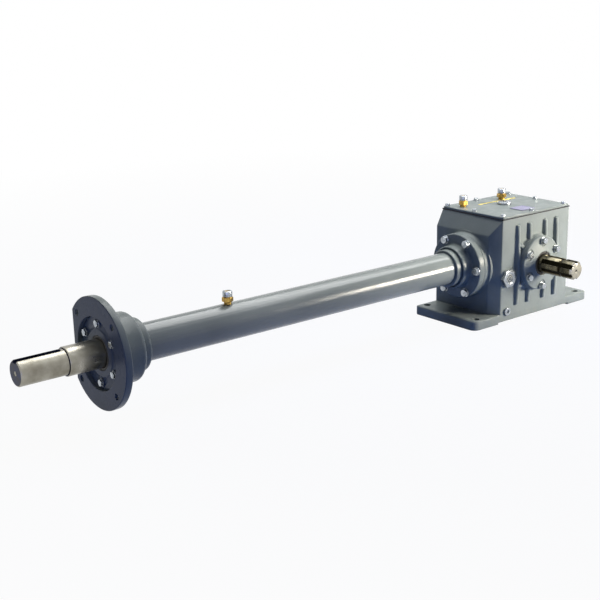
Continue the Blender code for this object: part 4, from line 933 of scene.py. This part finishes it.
def build_rear_cap():
    low, high = box("rear_cap")
    radius = half_height("rear_cap")
    cap = turned("rear_bore_cap", "Y", INPUT_CENTRE, [
        (low.y, radius - 0.5 * MM), (low.y + 0.5 * MM, radius), (high.y - 1.5 * MM, radius),
        (high.y, radius - 1.5 * MM), (high.y, radius - 4 * MM), (high.y - 2 * MM, radius - 6 * MM),
        (high.y - 2 * MM, radius - 14 * MM), (high.y - 1 * MM, radius - 17 * MM),
    ], 96)
    dress(smooth(cap), cast_enamel(), GEARBOX, ["rear_cap"])


# ---------------------------------------------------------------- output side
def build_tube_adapter():
    spigot_end, end = ADAPTER_HIGH.x, ADAPTER_LOW.x
    back = -PANEL_BOSS_HEIGHT - SEAT_GAP
    face = back - 14 * MM
    collar_end, sleeve = face - 20 * MM, 35 * MM
    radius, tube = half_height("tube_adapter"), half_height("extension_tube") + SEAT_GAP
    adapter = turned("tube_adapter_casting", "X", OUTPUT_CENTRE, [
        (spigot_end, 37.8 * MM), (spigot_end, 45 * MM), (back, 45 * MM), (back, radius - MM),
        (back - MM, radius),
        *reversed(arc(face, radius, 2.5 * MM, -1)), (face, 43.5 * MM), (face - 1.0 * MM, 41.8 * MM),
        (face - 3 * MM, 41 * MM), *reversed(arc(collar_end, 40 * MM, 2 * MM, -1)),
        (collar_end, sleeve + 2 * MM),
        (collar_end + 5 * MM, sleeve + 2 * MM), (collar_end + 5 * MM, sleeve),
        *reversed(arc(end, sleeve, 2 * MM, -1)), (end, tube), (TUBE_HIGH.x + SEAT_GAP, tube),
        (TUBE_HIGH.x + SEAT_GAP, 26 * MM), (box("output_bearing_inner_cup")[0].x - SEAT_GAP, 26 * MM),
        (box("output_bearing_inner_cup")[0].x - SEAT_GAP, 37.8 * MM),
    ], 128, hollow=True)
    cut(adapter, bolt_hole_cutters("adapter_bolt", 6, "X", M8[4]))
    dress(smooth(adapter, 28), machined_enamel(), GEARBOX, ["tube_adapter"])


def build_extension_tube():
    low, high = TUBE_LOW.x, TUBE_HIGH.x
    radius = (TUBE_HIGH.z - TUBE_LOW.z) / 2
    bore = radius - 5 * MM
    tube = turned("drawn_extension_tube", "X", OUTPUT_CENTRE, [
        (high, bore), (high, radius), (low, radius), (low, bore),
    ], 128, hollow=True)
    port = middle("breather_3_body")
    cut(tube, rod("port", "Z", (port.x, port.y, 0), AXIS_Z + bore / 2, TUBE_HIGH.z + MM,
                  BREATHER_SHANK_HOLE))
    dress(smooth(tube), drawn_enamel(), GEARBOX, ["extension_tube"])


def build_output_flange():
    face, neck_end = FLANGE_LOW.x, FLANGE_HIGH.x
    back, hub_end, hub, neck = face + 12 * MM, face + 57.5 * MM, 54.5 * MM, 42 * MM
    recess_floor, recess = face + 9.5 * MM, 57 * MM
    radius, flat = half_height("output_flange"), FLANGE_HIGH.y
    seat_floor = box("output_bearing_outer_cup")[1].x + SEAT_GAP
    tube, socket = half_height("extension_tube") + SEAT_GAP, TUBE_LOW.x - SEAT_GAP
    flange = turned("round_output_flange", "X", OUTPUT_CENTRE, [
        (neck_end, tube), *arc(neck_end, neck, 5 * MM, 1), (hub_end + 1.5 * MM, neck),
        (hub_end, neck + 1.5 * MM),
        *arc(hub_end, hub, 8 * MM, 1, 7), (back + 2.5 * MM, hub), (back + 0.8 * MM, hub + 0.8 * MM),
        (back, hub + 2.5 * MM), *arc(back, radius, 1.8 * MM, 1, 3), (face + 0.8 * MM, radius),
        (face, radius - 0.8 * MM), (face, recess + 0.6 * MM), (face + 0.6 * MM, recess),
        (recess_floor, recess),
        (recess_floor, 37.8 * MM), (seat_floor, 37.8 * MM), (seat_floor, 23.5 * MM), (socket, 23.5 * MM),
        (socket, tube),
    ], 144, hollow=True)
    trim = block("trim", (face - MM, flat, AXIS_Z - radius - MM),
                 (back + MM, radius + MM, AXIS_Z + radius + MM))
    holes = []
    for number in range(4):
        angle = math.radians(45 + 90 * number)
        circle, hole = FLANGE_HOLE_CIRCLE, FLANGE_HOLE_RADIUS
        centre = (0, circle * math.cos(angle), AXIS_Z + circle * math.sin(angle))
        holes.append(turned("hole", "X", centre, [
            (face - MM, hole + 1.5 * MM), (face + 0.5 * MM, hole), (back - 0.5 * MM, hole),
            (back + MM, hole + 1.5 * MM),
        ], 40))
    cut(flange, trim, joined(holes), bolt_hole_cutters("retainer_bolt", 6, "X", M6[4]))
    dress(smooth(flange, 28), machined_enamel(), GEARBOX, ["output_flange"])


def build_seal_retainer():
    """Disc in the flange's recess with a raised ring round the shaft seal."""
    face, spigot_end = RETAINER_LOW.x, RETAINER_HIGH.x
    back = face + 4 * MM
    radius, seat = half_height("seal_retainer"), half_height("output_seal") + SEAT_GAP
    seal_floor = box("output_seal")[1].x + SEAT_GAP
    retainer = turned("seal_retainer_disc", "X", OUTPUT_CENTRE, [
        (spigot_end, 26 * MM), (spigot_end, 37.5 * MM), (back, 37.5 * MM), (back, radius),
        (face + 2.4 * MM, radius), (face + 1.6 * MM, radius - 0.8 * MM), (face + 1.6 * MM, 39.5 * MM),
        (face + 1.2 * MM, 38.6 * MM), (face + 0.5 * MM, 37.4 * MM), (face, 36.6 * MM), (face, seat),
        (seal_floor, seat), (seal_floor, 26 * MM),
    ], 128, hollow=True)
    pads = []
    for number in range(1, 7):
        centre = middle(f"retainer_bolt_{number}")
        pads.append(rod("pad", "X", (0, centre.y, centre.z), face, face + 2 * MM, 7.2 * MM, 40))
    add(retainer, *pads)
    cut(retainer, bolt_hole_cutters("retainer_bolt", 6, "X", M6[4]))
    dress(smooth(retainer, 28), machined_enamel(), GEARBOX, ["seal_retainer"])


def build_output_shaft():
    end, gear_end = SHAFT_LOW.x, SHAFT_HIGH.x
    land, body, keyed = half_height("output_shaft"), 20 * MM, KEYED_RADIUS
    shoulder = end + KEYED_LENGTH
    inner_cone, outer_cone = box("output_bearing_inner_cone"), box("output_bearing_outer_cone")
    shaft = turned("keyed_output_shaft", "X", OUTPUT_CENTRE, [
        (end + 9 * MM, 0.4 * MM), (end + 7.6 * MM, 1.6 * MM), (end + 1.4 * MM, 1.9 * MM), (end, 3.4 * MM),
        (end, keyed - 1.6 * MM), (end + 1.6 * MM, keyed), (shoulder - 1.2 * MM, keyed),
        (shoulder - 1.2 * MM, keyed - 0.5 * MM), (shoulder, keyed - 0.5 * MM), (shoulder, land - 1.0 * MM),
        (shoulder + 1.0 * MM, land), (outer_cone[1].x, land), (outer_cone[1].x, body),
        (inner_cone[0].x, body), (inner_cone[0].x, land), (gear_end, land),
    ], 128)
    half_key, slot_end = KEY_HALF_WIDTH, end + KEY_LENGTH - KEY_HALF_WIDTH
    floor_z, above = AXIS_Z + keyed - KEY_DEPTH, AXIS_Z + keyed + MM
    slot = block("slot", (end - MM, -half_key, floor_z), (slot_end, half_key, above))
    cut(shaft, slot, rod("nose", "Z", (slot_end, 0, 0), floor_z, above, half_key, 64))
    dress(smooth(shaft, 28), ground_steel(), OUTPUT_BODY, ["output_shaft"])
    shaft.data.materials.append(painted_shade_on_cut_steel())
    for face in shaft.data.polygons:  # painted shade on the keyway, the end face and the shoulder's relief
        x, y, z = face.center
        in_slot = x < end + KEY_LENGTH + MM and abs(y) < half_key + FLAT_TEST and z > floor_z - FLAT_TEST
        in_keyway = in_slot and (z < floor_z + FLAT_TEST or abs(face.normal.z) < 0.1)
        at_shoulder = shoulder - 1.3 * MM < x < shoulder + 0.1 * MM and face.normal.x < 0.5
        if in_keyway or at_shoulder or x < end + 0.1 * MM:
            face.material_index = 1


# ---------------------------------------------------------------- pieces that keep their solids
def build_inner_finishes():
    for name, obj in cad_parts.items():
        if "bearing" in name or name in ("input_pinion", "output_gear"):
            for slot in obj.material_slots:
                slot.material = bearing_steel() if "bearing" in name else gear_steel()


# ---------------------------------------------------------------- stage
def white_for_sight(owner, plain, white, output, fade=1.0):
    """Shows white to camera, glossy and transmission rays, weakened by fade, and plain to the rest."""
    rays = node(owner, "LightPath").outputs
    bent = node(owner, "Math", {"operation": "MAXIMUM"}, i0=rays["Is Glossy Ray"],
                i1=rays["Is Transmission Ray"]).outputs[0]
    seen = node(owner, "Math", {"operation": "MAXIMUM"}, i0=rays["Is Camera Ray"], i1=bent).outputs[0]
    share = node(owner, "Math", {"operation": "MULTIPLY"}, i0=seen, i1=fade).outputs[0]
    mix = node(owner, "MixShader", None, i0=share, i1=plain.outputs[0], i2=white.outputs[0])
    owner.node_tree.links.new(mix.outputs[0], owner.node_tree.nodes[output].inputs["Surface"])


def build_floor():
    settings = bpy.context.scene.gearbox_stage
    deselect()
    bpy.ops.mesh.primitive_plane_add(size=FLOOR_SIZE, location=(0, 0, 0))
    floor = new_piece("studio_floor")
    material = bpy.data.materials.new("pale_studio_floor")
    material.use_nodes = True
    plain = material.node_tree.nodes["Principled BSDF"]
    plain.inputs["Base Color"].default_value = colour(settings.floor_bounce)
    plain.inputs["Roughness"].default_value = 0.9
    plain.inputs["Specular IOR Level"].default_value = 0.0
    white = node(material, "Emission", None, Color=WHITE)
    fade = node(material, "MapRange", None, Value=distance_from(material, (0, 0, 0)), From_Min=SHADOW_NEAR,
                From_Max=SHADOW_FAR, To_Min=settings.floor_white, To_Max=1.0)
    white_for_sight(material, plain, white, "Material Output", fade.outputs[0])
    floor.data.materials.append(material)


def build_world():
    settings = bpy.context.scene.gearbox_stage
    world = bpy.data.worlds.new("studio_room")
    bpy.context.scene.world = world
    world.use_nodes = True
    plain = world.node_tree.nodes["Background"]
    plain.inputs["Color"].default_value = colour(settings.room_colour)
    plain.inputs["Strength"].default_value = settings.room_light
    white_for_sight(world, plain, node(world, "Background", None, Color=WHITE), "World Output")


def area_lamp(name, place, target, size, power, tint, spread=180):
    data = bpy.data.lights.new(name, "AREA")
    data.shape = "RECTANGLE"
    data.size, data.size_y = size
    data.energy = power
    data.spread = math.radians(spread)
    data.color = colour(tint)[:3]
    lamp = bpy.data.objects.new(name, data)
    bpy.context.collection.objects.link(lamp)
    lamp.location = place
    lamp.rotation_euler = (Vector(target) - Vector(place)).to_track_quat("-Z", "Y").to_euler()


def build_lamps():
    settings = bpy.context.scene.gearbox_stage
    area_lamp("overhead_softbox", (0.38, 0.2, 1.4), (0.25, 0.05, 0.1), (1.5, 1.1),
              settings.overhead_power, "#ffffff")
    area_lamp("side_softbox", (0.7, -0.9, 0.34), (0.16, 0, 0.15), (0.4, 0.35),
              settings.side_power, "#fff5e4", 60)
    area_lamp("strip_light", (-0.1, -0.9, 1.5), (-0.3, 0, 0.1), (1.6, 0.08), settings.strip_power, "#f0f5ff")
    area_lamp("low_blue_fill", (-1.35, -0.95, 0.06), (-0.25, 0, 0.1), (1.6, 0.35),
              settings.blue_power, "#3c66ff")


def build_camera():
    data = bpy.data.cameras.new("photo_camera")
    data.lens, data.sensor_width = FOCAL_LENGTH_MM, SENSOR_MM
    camera = bpy.data.objects.new("photo_camera", data)
    bpy.context.collection.objects.link(camera)
    turn = Matrix.Rotation(CAMERA_HEADING - math.pi / 2, 4, "Z") @ \
        Matrix.Rotation(math.pi / 2 - CAMERA_PITCH, 4, "X") @ Matrix.Rotation(CAMERA_ROLL, 4, "Z")
    camera.matrix_world = Matrix.Translation(CAMERA_PLACE) @ turn
    bpy.context.scene.camera = camera


# ---------------------------------------------------------------- settings that a user would change
class GearboxFinish(bpy.types.PropertyGroup):
    """Colours and edge radius of the painted castings."""

    enamel: bpy.props.StringProperty(name="Enamel", description="sRGB hex of the enamel's lighter patches",
                                     default="#7b8382")
    enamel_dark: bpy.props.StringProperty(name="Enamel, dark", description="sRGB hex of its darker patches",
                                          default="#6f7777")
    cast_fillet: bpy.props.FloatProperty(name="Cast fillet", description="Radius of the castings' soft edges",
                                         default=2.2 * MM, min=0.0, subtype="DISTANCE", unit="LENGTH")


class GearboxStage(bpy.types.PropertyGroup):
    """Lamps, room and floor round the gearbox."""

    overhead_power: bpy.props.FloatProperty(name="Overhead", description="Overhead lamp", default=33.0,
                                             unit="POWER")
    side_power: bpy.props.FloatProperty(name="Side", description="Lamp at the ribbed side", default=3.6,
                                         unit="POWER")
    strip_power: bpy.props.FloatProperty(name="Strip", description="Narrow lamp along the tube", default=1.2,
                                         unit="POWER")
    blue_power: bpy.props.FloatProperty(name="Blue fill", description="Low fill in front", default=1.8,
                                         unit="POWER")
    room_light: bpy.props.FloatProperty(name="Room", description="Strength of the room's own light",
                                         default=0.06)
    room_colour: bpy.props.StringProperty(name="Room colour", description="sRGB hex of the room",
                                           default="#8fa8d8")
    floor_bounce: bpy.props.StringProperty(name="Floor", description="sRGB hex of the floor's bounce",
                                           default="#5f7fc0")
    floor_white: bpy.props.FloatProperty(name="Floor white", description="How white the floor looks, 0 to 1",
                                         default=0.95, min=0.0, max=1.0)


# ---------------------------------------------------------------- operators
class GEARBOX_OT_housing(bpy.types.Operator):
    """Model the ribbed cast housing on its foot plate"""

    bl_idname = "gearbox.housing"
    bl_label = "Housing"

    def execute(self, context):
        build_housing()
        return {"FINISHED"}


class GEARBOX_OT_top(bpy.types.Operator):
    """Model the top cover with its plate, plug, strip and breathers"""

    bl_idname = "gearbox.top"
    bl_label = "Top cover and fittings"

    def execute(self, context):
        build_top_cover()
        build_gasket()
        build_nameplate()
        build_yellow_strip()
        build_filler_plug()
        for number in (1, 2, 3):
            build_breather(number)
        return {"FINISHED"}


class GEARBOX_OT_side_plugs(bpy.types.Operator):
    """Model the sight glass and the drain plug"""

    bl_idname = "gearbox.side_plugs"
    bl_label = "Sight glass and drain plug"

    def execute(self, context):
        build_sight_glass()
        build_drain_plug()
        return {"FINISHED"}


class GEARBOX_OT_input_side(bpy.types.Operator):
    """Model the input cover, seal, splined shaft and rear cap"""

    bl_idname = "gearbox.input_side"
    bl_label = "Input side"

    def execute(self, context):
        build_input_cover()
        build_seal("input_seal", "Y", INPUT_CENTRE, -1)
        build_input_shaft()
        build_rear_cap()
        return {"FINISHED"}


class GEARBOX_OT_output_side(bpy.types.Operator):
    """Model the adapter, tube, flange, seal retainer and keyed shaft"""

    bl_idname = "gearbox.output_side"
    bl_label = "Output side"

    def execute(self, context):
        build_tube_adapter()
        build_extension_tube()
        build_output_flange()
        build_seal_retainer()
        build_seal("output_seal", "X", OUTPUT_CENTRE, -1)
        build_output_shaft()
        return {"FINISHED"}


class GEARBOX_OT_bolts(bpy.types.Operator):
    """Model the hexagon bolts and set one at each seat"""

    bl_idname = "gearbox.bolts"
    bl_label = "Bolts"

    def execute(self, context):
        to_output = Matrix.Rotation(-math.pi / 2, 4, "Y")
        to_input = Matrix.Rotation(math.pi / 2, 4, "X")
        build_bolts("top_cover_bolt", M5, Matrix.Identity(4), (0, 0, 1), 8)
        build_bolts("adapter_bolt", M8, to_output, (-1, 0, 0))
        build_bolts("input_cover_bolt", M7, to_input, (0, -1, 0))
        build_bolts("retainer_bolt", M6, to_output, (-1, 0, 0))
        return {"FINISHED"}


class GEARBOX_OT_inner(bpy.types.Operator):
    """Finish the gears and bearings"""

    bl_idname = "gearbox.inner"
    bl_label = "Inner pieces"

    def execute(self, context):
        build_inner_finishes()
        return {"FINISHED"}


class GEARBOX_OT_stage(bpy.types.Operator):
    """Set up the floor, room, lamps and camera"""

    bl_idname = "gearbox.stage"
    bl_label = "Stage"

    def execute(self, context):
        build_floor()
        build_world()
        build_lamps()
        build_camera()
        context.scene.view_settings.view_transform = "Standard"
        return {"FINISHED"}


OPERATORS = (GEARBOX_OT_housing, GEARBOX_OT_top, GEARBOX_OT_side_plugs, GEARBOX_OT_input_side,
             GEARBOX_OT_output_side, GEARBOX_OT_bolts, GEARBOX_OT_inner, GEARBOX_OT_stage)


class GEARBOX_PT_panel(bpy.types.Panel):
    """Lists the gearbox's pieces and settings"""

    bl_idname = "GEARBOX_PT_panel"
    bl_label = "Bevel gearbox"
    bl_space_type = "VIEW_3D"
    bl_region_type = "UI"
    bl_category = "Gearbox"

    def draw(self, context):
        for group in (context.scene.gearbox_finish, context.scene.gearbox_stage):
            for name in group.__annotations__:
                self.layout.prop(group, name)
        for operator in OPERATORS:
            self.layout.operator(operator.bl_idname)


CLASSES = (GearboxFinish, GearboxStage, *OPERATORS, GEARBOX_PT_panel)


def register():
    for cls in CLASSES:
        bpy.utils.register_class(cls)
    bpy.types.Scene.gearbox_finish = bpy.props.PointerProperty(type=GearboxFinish)
    bpy.types.Scene.gearbox_stage = bpy.props.PointerProperty(type=GearboxStage)


def unregister():
    del bpy.types.Scene.gearbox_stage
    del bpy.types.Scene.gearbox_finish
    for cls in reversed(CLASSES):
        bpy.utils.unregister_class(cls)


def main():
    register()
    deselect()
    bpy.ops.gearbox.housing()
    bpy.ops.gearbox.top()
    bpy.ops.gearbox.side_plugs()
    bpy.ops.gearbox.input_side()
    bpy.ops.gearbox.output_side()
    bpy.ops.gearbox.bolts()
    bpy.ops.gearbox.inner()
    bpy.ops.gearbox.stage()


if __name__ == "__main__":
    main()
